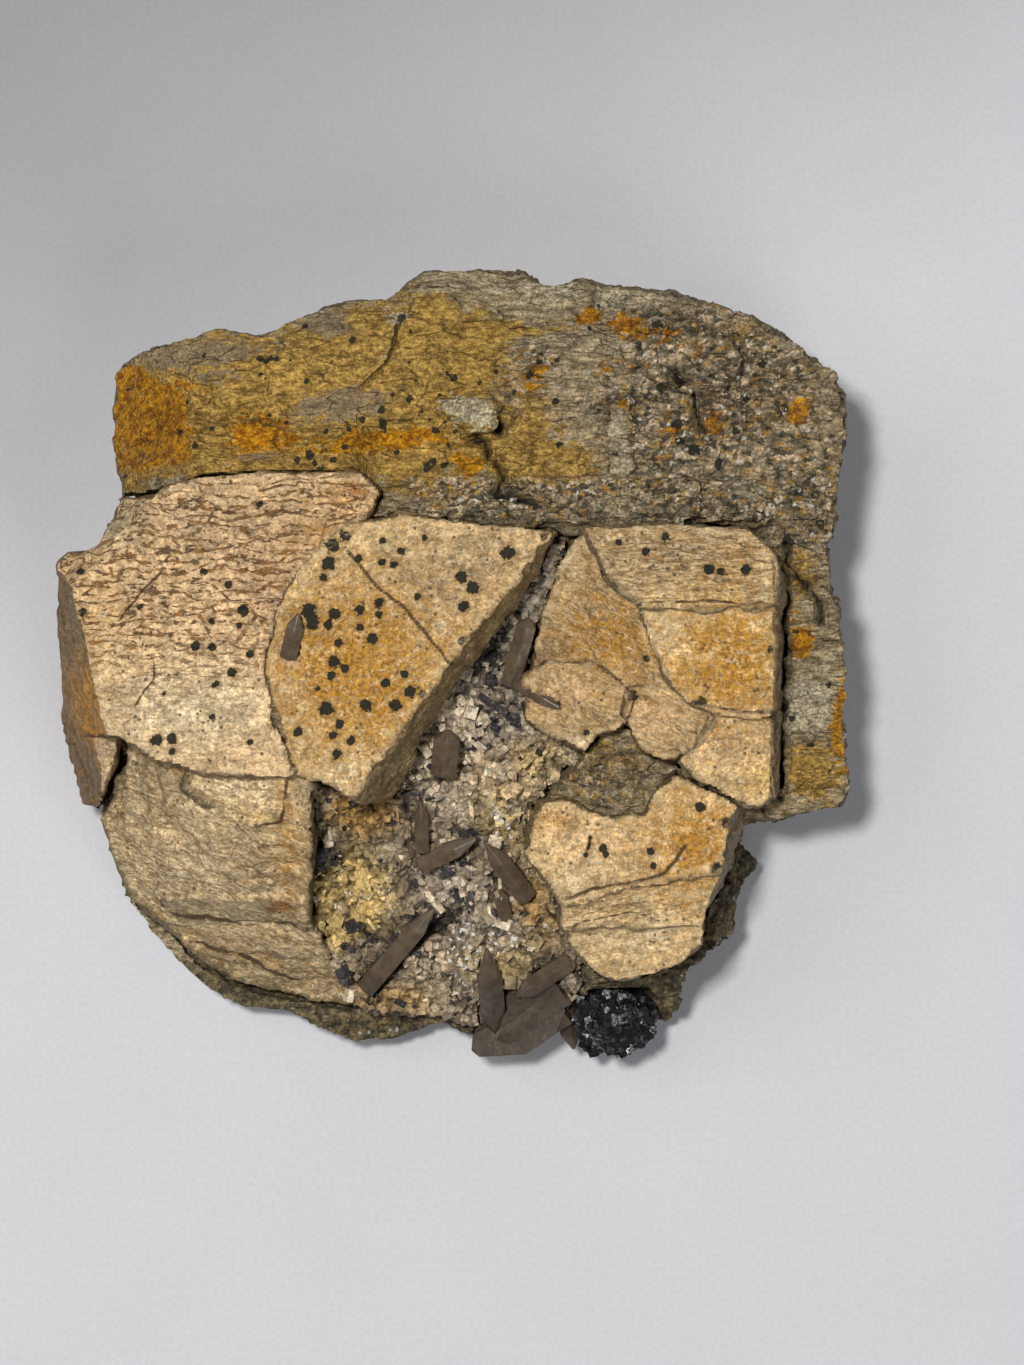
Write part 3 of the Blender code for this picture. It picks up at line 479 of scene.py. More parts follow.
# Fissures and the foot lines of ledges; their shadow is painted almost black in the material.
SHADOWED_FISSURES = (
    ((7.4, 38), (7.8, 36.4), (7, 35.2)), ((2.2, 34.2), (4.2, 33.8), (4.6, 32.4), (5.3, 31)),
    ((6.4, 30.4), (7.4, 28.8), (6.4, 26.4), (9, 26.4), (12.6, 24.8)),
    ((45, 18.4), (48, 16.6), (50, 15), (53, 12.6), (55, 10), (55.6, 7)),
    ((49.9, 18), (49.9, 4), (49.8, -10), (49.6, -20)), ((-2, 22), (2, 21.8), (6, 21.6), (12.5, 21.4)),
    ((33, 44), (35.6, 39.6), (38, 35)),
)


def zone(spots, zones):
    """How much each spot is in soft oval zones, 1 well inside and 0 outside."""
    total = sum(weight * patch(spots, *oval) for *oval, weight in zones)
    return np.clip(total, 0.0, 1.2)


def host_rock():
    """Dress the rock with slabs, layers, grains and fissures, and give it its stains, painted shade and
    painted glints.
    """
    piece = fine_copy("host_matrix", "host_rock", HOST_VOXEL)
    keep_largest(piece)
    spots, normals = points_of(piece), normals_of(piece)
    clear_of_base = smooth(0.2, 2.5, spots[:, 2])
    granular = zone(spots, GRANULAR_ZONES)
    up = smooth(0.2, 0.8, normals[:, 2])
    granular = np.maximum(granular, 0.5 * (1.0 - up))
    rim, grain = chips(spots, GRAIN_SIZE, 5)
    small_rim, small_grain = chips(spots, SMALL_GRAIN_SIZE, 9)
    slabs, slab = chips(spots * np.array((0.4, 1.5, 1.2)), SLAB_SIZE, 13)
    layers = fractal(spots * np.array((0.35, 1.6, 1.6)), LAYER_SIZE, 17, 4)
    right = smooth(2.0, 9.0, spots[:, 0])
    relief = 0.7 * (fractal(spots, 7.0, 3, 3) - 0.2)
    relief += (0.5 + 0.7 * right) * (slab - 0.6) + (0.3 + 0.5 * right) * layers
    relief += granular * (0.75 * (grain - 0.7) + 0.45 * (small_grain - 0.6) - 0.45 * smooth(0.14, 0.0, rim))
    split = np.min([beside(warped(spots, 2.0, 0.7, 21), line) for line in SHADOWED_FISSURES], axis=0)
    relief -= FISSURE_DEPTH * smooth(1.0, 0.1, split) * up * smooth(24.0, 28.0, spots[:, 2])
    moved = spots + normals * (np.minimum(relief, 0.8) * clear_of_base)[:, None]
    moved[:, 2] = np.maximum(moved[:, 2], 0.0)
    reshape(piece, moved)

    laid = warped(spots, 4.0, 1.4, 31)
    side = 1.0 - smooth(0.2, 0.6, normals[:, 2])
    end_face = 0.75 * smooth(-0.5, 0.5, inside(laid, END_FACE))
    mark(piece, "rust", np.maximum(zone(laid, RUST_PATCHES), end_face) * (1 - 0.5 * side))
    mark(piece, "ochre", zone(laid, OCHRE_PATCHES) * (1 - 0.4 * side))
    mark(piece, "pale", zone(laid, PALE_PATCHES))
    mark(piece, "grey", zone(laid, GREY_PATCHES))
    mark(piece, "granular", granular * (1.0 - 0.75 * zone(laid, PALE_PATCHES)))
    mark(piece, "side", side)
    mark(piece, "speck", speck_field(spots, HOST_SPECKS) + 4.0 * side)
    # The grain rims and slab joints, which get painted shade in the material.
    mark(piece, "hollow_shade", np.clip(granular * smooth(0.14, 0.0, rim) + 0.8 * smooth(0.05, 0.0, slabs), 0, 1))
    mark(piece, "split", split + 3.0 * (1.0 - up))
    front_right = smooth(-24.0, -30.0, laid[:, 1]) * smooth(30.0, 40.0, laid[:, 0])
    mark(piece, "skirt", smooth(-42.0, -49.0, laid[:, 1]) + front_right)

    s = Surface("weathered_rock", specular=0.25)
    layered = s.stretched(0.3, 1.5, 1.5)
    fine_layers = s.noise(0.9, 5.0, 0.7, place=layered, warp=0.4)
    gritty = s.noise(0.45, 3.0, 0.7)
    wobble = s.sum("SUBTRACT", s.noise(1.3, 5.0, 0.7, place=s.stretched(0.5, 1.2, 1.2), warp=0.5), 0.5)

    def stain(colour, name, other, low=0.36, high=0.56, top=0.95):
        amount = s.sum("ADD", s.value(name), s.times(wobble, 1.9))
        return s.mix(s.between(amount, low, high, 0.0, top), colour, other)

    colour = s.mix(s.between(fine_layers, 0.36, 0.64), (0.24, 0.18, 0.095), (0.74, 0.58, 0.35))
    rough_gold = s.noise(0.8, 5.0, 0.75, place=s.stretched(0.5, 1.0, 1.0))
    golden = s.mix(s.between(rough_gold, 0.38, 0.62), *GOLDEN)
    orange = s.mix(s.between(s.noise(1.2, 5.0, 0.75), 0.38, 0.62), *ORANGE)
    smooth_grey = s.mix(s.between(fine_layers, 0.25, 0.75), *ROCK_GREY)
    greenish = s.mix(s.between(s.noise(0.9, 4.0, 0.7), 0.3, 0.7), *PALE_GRIT)
    colour = stain(colour, "ochre", golden, 0.22, 0.46)
    colour = stain(colour, "grey", smooth_grey, 0.5, 0.66, 0.85)
    colour = stain(colour, "pale", greenish, 0.4, 0.6)
    chance = s.random_grain(0.8, place=s.shaken(1.1, place=s.stretched(0.75, 1.1, 1.1)))
    kinds = s.node("ShaderNodeValToRGB")
    kinds.color_ramp.interpolation = "CONSTANT"
    kinds.color_ramp.elements.remove(kinds.color_ramp.elements[1])
    for spot, shade in GRAVEL_COLOURS:
        stop = kinds.color_ramp.elements.new(spot) if spot else kinds.color_ramp.elements[0]
        stop.color = (*shade, 1.0)
    s.link(chance, kinds.inputs["Fac"])
    gravel = s.brighten(kinds.outputs["Color"], s.between(gritty, 0.25, 0.75, 0.8, 1.45))
    grainy = s.sum("ADD", s.value("granular"), s.times(wobble, 1.2))
    colour = s.mix(s.between(grainy, 0.3, 0.75, 0.0, 0.75), colour, gravel)
    colour = stain(colour, "rust", orange, 0.42, 0.62, 0.96)
    # Painted shade: steep sides are half blended to dark brown, as they turn away from the overhead light.
    colour = s.mix(s.times(s.value("side"), 0.5), colour, (0.13, 0.1, 0.055))
    murky = s.mix(s.between(s.noise(1.4, 5.0, 0.75), 0.42, 0.6), *MURKY)
    colour = s.mix(s.between(s.value("skirt"), 0.1, 1.0, 0.0, 0.88), colour, murky)
    colour = s.brighten(colour, s.between(s.noise(3.5, 4.0, 0.6), 0.25, 0.75, 0.78, 1.2))
    colour = s.brighten(colour, s.between(gritty, 0.3, 0.7, 0.55, 1.4))
    cracks = s.grains(1.0, feature="DISTANCE_TO_EDGE", place=s.stretched(0.16, 0.42, 0.4))
    here = s.between(s.noise(3.0, 3.0, 0.6), 0.45, 0.6)
    cracked = s.times(s.between(cracks, 0.035, 0.008), here)
    colour = s.mix(s.times(cracked, 0.45), colour, (0.08, 0.06, 0.035))
    ragged = s.times(s.sum("SUBTRACT", s.noise(0.7, 3.0, 0.6), 0.5), 1.5)
    speck = s.between(s.sum("ADD", s.value("speck"), ragged), 1.1, 0.9)
    colour = s.mix(s.times(speck, 0.93), colour, (0.022, 0.028, 0.02))
    # Painted shade in the hollows between grains and along the joints between slabs.
    colour = s.mix(s.times(s.value("hollow_shade"), 0.6), colour, (0.05, 0.038, 0.025))
    # Painted shadow: fissures and the feet of ledges are darkened almost to black, over the real fissures.
    colour = s.mix(s.between(s.value("split"), 0.75, 0.1, 0.0, 0.94), colour, (0.02, 0.017, 0.014))
    # Painted glints: a few tiny grains turned near white, standing in for sparkles of reflected light.
    glint_cells = s.random_grain(0.55, "Green")
    glint = s.times(s.between(glint_cells, 0.975, 0.985), s.value("granular"), 0.8)
    colour = s.mix(glint, colour, (0.9, 0.88, 0.8))
    height = s.sum("ADD", s.noise(0.5, 4.0, 0.7), s.times(fine_layers, 1.2))
    s.bump(s.sum("SUBTRACT", height, cracked), 0.65)
    show(piece, "host_matrix", s.finish(colour, s.between(gritty, 0.3, 0.7, 0.6, 0.85)))


host_rock()


# Feldspar: six cream crystals, each one solid grown from the rock, with flat cleavage faces and steps.
# Brown lines follow their cleavage, ochre stains them, and small black grains are set in their faces.
CRYSTAL_VOXEL = 0.42
SEAM_REACH = 0.66
CHIP_DEPTH = 0.7
CLEAVAGE_ROW = 1.6
TERRACE = 0.32
CORNER_FILL = 0.7
CREAM = (0.84, 0.58, 0.28)
PINK_CREAM = (0.9, 0.59, 0.31)
WHITE_CREAM = (0.96, 0.76, 0.46)
YELLOW = (0.8, 0.5, 0.16)
OCHRE = (0.58, 0.27, 0.045)
RUST = (0.36, 0.1, 0.012)
PURPLE_BROWN = (0.34, 0.17, 0.1)
GREY_TAN = (0.42, 0.31, 0.18)
GREENISH = (0.36, 0.28, 0.14)
# The colour that steep flanks are blended to: painted shade over their own darker tone.
SHADED_SIDE = (0.17, 0.1, 0.04)
PALE_GREEN = (0.52, 0.46, 0.28)


def edge_distance(piece, normals, reach=10):
    """How far each point is from the nearest sharp edge of its crystal, in millimetres."""
    pairs = edge_ends(piece)
    spots = points_of(piece)
    run = np.linalg.norm(spots[pairs[:, 0]] - spots[pairs[:, 1]], axis=1)
    bend = np.linalg.norm(normals[pairs[:, 0]] - normals[pairs[:, 1]], axis=1)
    away = np.full(len(spots), 9.0)
    away[pairs[bend > 0.3].ravel()] = 0.0
    for step in range(reach):
        for here, there in ((0, 1), (1, 0)):
            np.minimum.at(away, pairs[:, here], away[pairs[:, there]] + run)
    return away


def coloured(spots, base, patches, seed):
    """A base colour with soft patches of other colours laid over it."""
    laid = warped(spots, 3.0, 1.1, seed)
    colours = np.tile(np.array(base, float), (len(spots), 1))
    for colour, *oval, weight in patches:
        colours = blend(colours, colour, weight * patch(laid, *oval))
    return colours


def crystal(node, base, patches, specks=(), cracks=(), grain=0.0, streaks=None, mottle=None, fibre=None,
            carve=None, seed=1, side=SHADED_SIDE, side_patches=(), rough=0.3):
    """Dress one feldspar crystal. Streaks, mottle, fibre and carve are functions of its points."""
    piece = fine_copy(node, node.replace("feldspar", "crystal"), CRYSTAL_VOXEL)
    spots, normals = points_of(piece), normals_of(piece)
    edge = edge_distance(piece, normals)
    up = smooth(0.35, 0.75, normals[:, 2])
    worn = smooth(1.5, 0.0, edge) * smooth(0.1, 0.7, fractal(spots, 3.0, seed, 3))
    relief = rough * fractal(spots, 2.4, seed + 2, 5) - CHIP_DEPTH * worn
    stepped = fractal(spots * np.array((0.55, 1.5, 1.0)), 6.0, seed + 7, 4)
    relief += TERRACE * (smooth(-0.05, 0.0, stepped) + smooth(0.35, 0.4, stepped) - 1.5)
    inner = 1.0 - smooth(47.0, 54.0, np.hypot(spots[:, 0], spots[:, 1]))
    ribs = 0.5 * fractal(spots * np.array((1, 1, 0.4)), 3.0, seed + 5, 4)
    relief += (1.0 - up) * (ribs + SEAM_REACH * inner)
    tilt = np.clip(normals[:, 2], 0.0, 1.0)
    relief += CORNER_FILL * inner * (1.0 - np.abs(2.0 * tilt * tilt - 1.0)) * smooth(2.0, 1.0, edge)
    if carve is not None:
        relief -= carve(spots) * up
    moved = spots + normals * relief[:, None]
    reshape(piece, moved)
    colours = coloured(spots, base, patches, seed)
    # Steep flanks are blended towards the side colour: painted shade, as they turn away from the overhead
    # light, over their own darker tone.
    flank = 1.0 - smooth(0.3, 0.62, normals[:, 2])
    colours = blend(colours, side, 0.85 * flank)
    for colour, *oval, weight in side_patches:
        colours = blend(colours, colour, weight * flank * patch(spots, *oval))
    tint(piece, colours)
    mark(piece, "speck", speck_field(spots, specks) + 4.0 * flank)
    # Dark lines for the cracks, and for painted shadow below ledges and steps where the lines follow them.
    line = np.full(len(spots), 9.0)
    for width, path in cracks:
        line = np.minimum(line, beside(warped(spots, 2.2, 0.3, seed), path) / width)
    mark(piece, "crack_and_shadow", line)
    mark(piece, "edge", edge)
    mark(piece, "streak", (1.0 - 0.6 * flank) * (streaks(spots) if streaks else 0.4))
    mark(piece, "mottle", (1.0 - flank) * (mottle(spots) if mottle else 0.35))
    mark(piece, "fibre", 0.9 * flank + (1.0 - flank) * (fibre(spots) if fibre else 0.35))
    mark(piece, "flank", flank)
    turned = warped(spots, 7.0, 0.8, seed + 9)
    c, s = math.cos(math.radians(grain)), math.sin(math.radians(grain))
    along = turned[:, 0] * c + turned[:, 1] * s
    across = turned[:, 1] * c - turned[:, 0] * s
    across = np.where(flank > 0.5, spots[:, 0] + spots[:, 1], across)
    along = np.where(flank > 0.5, spots[:, 2], along)
    field = piece.data.attributes.new("grain", "FLOAT_VECTOR", "POINT")
    field.data.foreach_set("vector", np.stack([along, across, spots[:, 2]], 1).astype(np.float32).ravel())
    show(piece, node, feldspar_material())


def feldspar_material():
    """One material for all six crystals: their tints, stains, cleavage rows, specks, dark fracture lines,
    painted shadow lines below ledges and painted highlights on their rims.
    """
    if "feldspar_faces" in bpy.data.materials:
        return bpy.data.materials["feldspar_faces"]
    s = Surface("feldspar_faces", specular=0.3)
    grain = s.node("ShaderNodeAttribute", attribute_name="grain").outputs["Vector"]

    def along_grain(along, across):
        made = s.node("ShaderNodeVectorMath", operation="MULTIPLY")
        s.link(grain, made.inputs[0])
        made.inputs[1].default_value = (1.0 / along, 1.0 / across, 0.3)
        return made.outputs["Vector"]

    base = s.brighten(s.colour("tint"), s.between(s.noise(2.8, 6.0, 0.7, warp=0.5), 0.32, 0.68, 0.56, 1.3))
    base = s.brighten(base, s.between(s.noise(0.9, 4.0, 0.72), 0.36, 0.64, 0.64, 1.36))
    base = s.brighten(base, s.between(s.noise(0.4, 2.0, 0.6), 0.34, 0.66, 0.72, 1.28))
    blotch = s.sum("ADD", s.noise(1.5, 6.0, 0.8, warp=0.7), s.times(s.value("mottle"), 0.1))
    blotch = s.between(blotch, 0.52, 0.6)
    stain = s.mix(s.between(s.noise(0.6, 3.0, 0.6), 0.35, 0.65), (0.78, 0.38, 0.03), (0.33, 0.145, 0.025))
    base = s.mix(s.times(blotch, s.value("mottle")), base, stain)
    top = s.sum("SUBTRACT", 1.0, s.value("flank"))
    pale = s.between(s.noise(1.0, 5.0, 0.75, warp=0.5), 0.54, 0.62)
    base = s.mix(s.times(pale, top, 0.6), base, (0.98, 0.78, 0.5))
    flecks = s.between(s.noise(0.8, 4.0, 0.7, warp=0.6), 0.62, 0.67)
    flecks = s.times(flecks, s.between(s.value("mottle"), 0.0, 0.9, 0.0, 0.95), top)
    base = s.mix(flecks, base, (0.17, 0.11, 0.045))
    fine = s.between(s.noise(1.0, 5.0, 0.72, place=along_grain(1.6, 0.3), warp=0.4), 0.47, 0.6)
    base = s.mix(s.times(fine, s.value("fibre"), 0.75), base, (0.26, 0.16, 0.06))
    light = s.between(s.noise(1.0, 5.0, 0.72, place=along_grain(2.2, 0.35), warp=0.4), 0.52, 0.62)
    light = s.times(light, top, s.value("fibre"), 0.65)
    base = s.mix(light, base, (0.9, 0.72, 0.45))

    across = s.axis("Y", grain)
    sway = s.times(s.noise(1.0, 3.0, 0.6, place=along_grain(5.0, 2.2)), 3.2)
    row = s.sum("FRACT", s.sum("ADD", s.times(across, 1.0 / CLEAVAGE_ROW), sway))
    row = s.sum("ABSOLUTE", s.sum("SUBTRACT", row, 0.5))
    row = s.sum("SUBTRACT", row, s.between(s.noise(0.8, 3.0, 0.7), 0.3, 0.7, -0.08, 0.1))
    broken = s.between(s.noise(1.0, 3.0, 0.65, place=along_grain(1.9, 0.8)), 0.44, 0.53)
    dash = s.times(s.between(row, 0.16, 0.08), broken)
    bricks = s.grains(1.0, feature="DISTANCE_TO_EDGE", place=along_grain(7.0, 3.0))
    joints = s.times(s.between(bricks, 0.04, 0.01), s.between(s.noise(1.6, 3.0, 0.6), 0.46, 0.6))
    lines = s.times(s.sum("MAXIMUM", dash, joints), s.value("streak"))
    rusty = s.mix(s.between(s.noise(1.5, 3.0), 0.4, 0.6), (0.1, 0.05, 0.025), (0.36, 0.15, 0.03))
    base = s.mix(s.times(lines, 0.9), base, rusty)
    ragged = s.times(s.sum("SUBTRACT", s.noise(0.75, 4.0, 0.65), 0.5), 1.9)
    speck = s.sum("ADD", s.value("speck"), ragged)
    base = s.mix(s.between(speck, 1.8, 0.9, 0.0, 0.45), base, (0.3, 0.16, 0.04))
    lonely = s.between(s.noise(4.0, 1.0, 0.5), 0.45, 0.62, 0.0, 0.22)
    dots = s.between(s.sum("SUBTRACT", lonely, s.grains(1.3)), -0.03, 0.03)
    base = s.mix(s.times(dots, 0.8), base, (0.1, 0.07, 0.035))
    black = s.between(speck, 1.05, 0.85)
    base = s.mix(s.times(black, 0.96), base, (0.016, 0.019, 0.015))
    # Dark lines: real cracks, and on some crystals painted shadow below ledges and steps.
    crack_and_shadow = s.sum("ADD", s.value("crack_and_shadow"), s.times(ragged, 0.7))
    base = s.mix(s.between(crack_and_shadow, 1.3, 0.5, 0.0, 0.9), base, (0.07, 0.035, 0.014))
    # Painted highlight: pale rims along the top edges, where the edges catch the light.
    rim = s.between(s.sum("ADD", s.value("edge"), s.times(ragged, 0.9)), 0.6, 0.0, 0.0, 0.3)
    base = s.mix(s.times(rim, top, broken), base, (0.9, 0.7, 0.42))
    dents = s.sum("SUBTRACT", s.noise(0.6, 4.0, 0.7), s.times(lines, 0.6))
    s.bump(s.sum("SUBTRACT", dents, black), 0.5)
    return s.finish(base, s.between(s.noise(0.8, 2.0), 0.3, 0.7, 0.42, 0.68))


LEFT_SPECKS = (
    (-31.3, 8.2, 0.9), (-55.6, 7.9, 0.7), (-44.3, -11.2, 0.9), (-42, -11, 0.8), (-38.5, 2.9, 0.7),
    (-36, 2.7, 0.6), (-30.3, 1.7, 0.6), (-33, -1.1, 0.7), (-35.5, -2.8, 0.6), (-46.8, 8.7, 0.5),
    (-56, 14.3, 0.6), (-37.3, 14, 0.6), (-33.6, 12, 0.6), (-36.1, 6.5, 0.5), (-32, 5.9, 0.5),
    (-30.3, -11.5, 0.5), (-36, -7.8, 0.5), (-42, -12.9, 0.5), (-43.2, -4.2, 0.4), (-28.8, 24, 0.5),
)
LEFT_CRACKS = (
    (0.22, ((-43.5, 14), (-46.5, 11), (-50, 6.5))), (0.2, ((-47, 4.5), (-45, 0.5), (-44.7, -2), (-47.5, -6))),
    (0.25, ((-55.4, -10.6), (-50, -11), (-46, -13.2), (-44, -14))),
    (0.3, ((-50.6, -10.6), (-51.4, -15), (-54.2, -21))),
)
crystal(
    "left_feldspar", PINK_CREAM,
    (
        (PURPLE_BROWN, -27, 14, 6, 8, 0, 0.42), (GREY_TAN, -38, 22, 18, 5, 0, 0.4),
        (OCHRE, -16, 25.5, 4, 2, 0, 0.6), (RUST, -14.5, 26, 1.3, 1.1, 0, 0.9),
        (OCHRE, -31, -3.5, 1.6, 1.1, 0, 0.5), (OCHRE, -51, -8, 3, 2, 0, 0.3),
        (WHITE_CREAM, -40, -7, 16, 7, 0, 1.0), (PALE_GREEN, -50.5, 21.5, 3.4, 3.4, 0, 0.9),
        (OCHRE, -20, 20, 5, 2, 25, 0.5), (GREY_TAN, -55, -15, 4, 6, 0, 0.75),
        (OCHRE, -55.5, -6, 1.8, 4.5, 0, 0.9), (YELLOW, -54, 8, 4, 8, 0, 0.25),
    ),
    LEFT_SPECKS, LEFT_CRACKS,
    streaks=lambda p: 0.25 + 0.75 * smooth(-9, 7, p[:, 1]),
    mottle=lambda p: 0.15 + 0.2 * patch(p, -52, 2, 6, 12) + 0.3 * patch(p, -20, 20, 8, 6),
    carve=lambda p: (
        0.25 * smooth(0.1, 0.5, fractal(p * np.array((0.3, 1.6, 1)), 2.6, 41, 2)) * smooth(-12, 4, p[:, 1])
    ),
    seed=3, rough=0.18, side_patches=((OCHRE, -55, -6, 3, 6, 15, 2.2), (GREENISH, -57.5, 6, 2, 8, 0, 0.5)),
)

RIDGE_SPECKS = (
    (-19, -6.6, 1.1), (-21.5, 8, 1.2), (-21, 6.3, 1.0), (-17.7, 7.7, 0.9), (-18.6, 6, 0.7),
    (-14, 8.2, 0.7), (-11, 9.3, 0.7), (-11, 7.5, 0.6), (-13.8, 5.6, 0.6), (-12, 4, 0.8), (-17, 3.3, 0.6),
    (-17.8, 0.5, 0.9), (-16.2, -0.6, 0.7), (-18.3, -1.6, 0.7), (-20.3, -3.5, 0.4), (-10, -2.7, 0.7),
    (-7.3, -1.4, 0.6), (-6.3, -4, 0.9), (-4.5, -4.4, 0.7), (-13, -6, 0.9), (-8.5, -6, 0.9),
    (-17, -8.8, 0.7), (-18, -10.5, 0.6), (-15.3, -11.3, 0.7), (-17.3, -13.3, 0.7), (-26.8, -9, 0.5),
    (-23.3, -10, 0.7), (-18.5, 15.2, 1.0), (-19.3, 13, 0.6), (-17.8, 17.8, 1.0), (-16, 19.2, 0.7),
    (8.2, 16.8, 1.0), (-7.7, 17.2, 0.6), (-8.8, 15.1, 0.6), (-10.5, 15.4, 0.6), (-14, 16, 0.6),
    (-10.5, 18.6, 0.5), (1.3, 13.2, 0.9), (3, 11.5, 0.9), (-5.2, 10.2, 0.6), (1.7, 8.7, 0.8),
    (1.5, 3.7, 0.6), (-4.2, 19.2, 0.5), (13.7, 19.2, 0.7),
)
RIDGE_CRACK_AND_SHADOW = (
    (0.34, ((-15.5, 17), (-11, 11.5), (-6.5, 7.8), (-0.5, 0.5))),
    # Painted shadow that the left crystal casts on this crystal's left edge.
    (0.5, ((-28, -2), (-26.4, -7), (-25, -13), (-23.6, -16))),
)
crystal(
    "ridge_feldspar", CREAM,
    (
        (YELLOW, -14, 0, 12, 11, 0, 1.1), (OCHRE, -10, 3, 7, 4, 0, 0.45),
        (WHITE_CREAM, -16, -15.5, 3, 1.8, 0, 0.9), (GREY_TAN, 0, 14, 14, 6, 0, 0.55),
        (PURPLE_BROWN, -3, 11, 8, 4, 0, 0.18), (OCHRE, -1, 5, 2.4, 2.6, 0, 0.7),
        (WHITE_CREAM, -1.8, 6, 1.4, 1.4, 0, 0.8), (GREY_TAN, -24, -4, 3, 6, 0, 0.3),
        (OCHRE, 7, 12, 6, 2, 55, 0.3), (WHITE_CREAM, -5, 4, 5, 1.2, -45, 0.4),
    ),
    RIDGE_SPECKS, RIDGE_CRACK_AND_SHADOW, grain=20.0,
    streaks=lambda p: 0.12, mottle=lambda p: 0.2 + 1.0 * patch(p, -14, -1, 14, 15, 0),
    seed=11, side=(0.29, 0.21, 0.11),
)

RIGHT_SPECKS = (
    (28.8, 17, 0.6), (24.8, 18.4, 0.5), (38.2, 14.5, 0.8), (40, 14, 0.6), (43.7, 14.3, 0.8),
    (31.8, 19.2, 0.7), (47.5, 2.3, 0.6), (48.5, -5, 0.6), (36.8, -5.8, 1.0), (37.6, -7.6, 0.5),
    (37.4, -9.6, 0.5), (36.4, -11.6, 0.5),
)
# Painted shadows: below the lower ledge, below the upper step, and along the step down to the rock at the
# right.
RIGHT_LEDGE_SHADOWS = (
    (0.3, ((36, -5.2), (39, -6.4), (44, -7.2), (49, -6.6))), (0.25, ((28, 9.2), (38, 9.6), (48, 9))),
    (0.3, ((48, 16), (48.2, 6), (48, -8), (47.6, -20))),
)
crystal(
    "right_feldspar", CREAM,
    (
        (GREY_TAN, 34, 16, 14, 5, 0, 0.7), (OCHRE, 44, 14.5, 4, 3, 0, 0.5), (YELLOW, 40, 2, 9, 8, 0, 0.8),
        (OCHRE, 40, -4, 8, 2.6, -6, 0.6), (WHITE_CREAM, 32, 5, 2.6, 4, 20, 0.9),
        (WHITE_CREAM, 46, 12, 1.6, 4, 0, 0.6), (PINK_CREAM, 42, -11, 6, 4, 0, 0.6),
        (YELLOW, 46, -17, 4, 3, 0, 0.6), (GREENISH, 48.8, 0, 0.9, 18, 0, 0.8),
        (GREY_TAN, 25, 12, 2, 4, 30, 0.4),
    ),
    RIGHT_SPECKS, RIGHT_LEDGE_SHADOWS,
    streaks=lambda p: 0.1 + 0.5 * smooth(7, 11, p[:, 1]),
    mottle=lambda p: 0.28 + 0.8 * patch(p, 41, 1, 10, 10),
    fibre=lambda p: 0.3 + 0.6 * smooth(7, 11, p[:, 1]),
    carve=lambda p: 0.5 * smooth(0.0, 0.6, fractal(p * np.array((0.4, 1.2, 1)), 4.0, 43, 3)),
    seed=23, side=(0.3, 0.25, 0.15),
)

INNER_SPECKS = ((15.3, -6.1, 0.7), (26.8, -4.7, 0.9), (20, -10.2, 0.5), (22.8, -14, 0.6), (29, 1, 0.5))
INNER_CRACKS = (
    (0.3, ((38, -8), (37.5, -10), (36, -12.5))), (0.25, ((20, 1), (25, -1.8), (27, -4.8), (26.4, -8.4))),
)
crystal(
    "inner_feldspar", (0.56, 0.37, 0.17),
    (
        (GREENISH, 24, 6, 4, 6, 30, 0.5), (YELLOW, 26, 1, 5, 4, 0, 0.5),
        (PINK_CREAM, 18, -4, 6, 4, 0, 0.8), (WHITE_CREAM, 18.8, -11.4, 2.4, 1.6, -20, 0.9),
        (PINK_CREAM, 31, -8, 4.5, 4, 0, 0.9), (WHITE_CREAM, 17.6, 15.6, 1.6, 3.4, 10, 0.95),
        (CREAM, 17, 11, 2, 3, 0, 0.8), (GREY_TAN, 14, 2, 2.4, 4, 0, 0.6),
        (PURPLE_BROWN, 21, 12, 1.6, 3.4, 20, 0.5), (OCHRE, 22, 4, 4, 2, 0, 0.3),
    ),
    INNER_SPECKS, INNER_CRACKS, grain=-25.0,
    streaks=lambda p: 0.15, mottle=lambda p: 0.35 + 0.7 * patch(p, 24, 4, 8, 7),
    fibre=lambda p: 0.7,
    carve=lambda p: 0.7 * smooth(-0.2, 0.7, fractal(p, 3.4, 47, 4)),
    seed=31, side=(0.2, 0.14, 0.08),
)

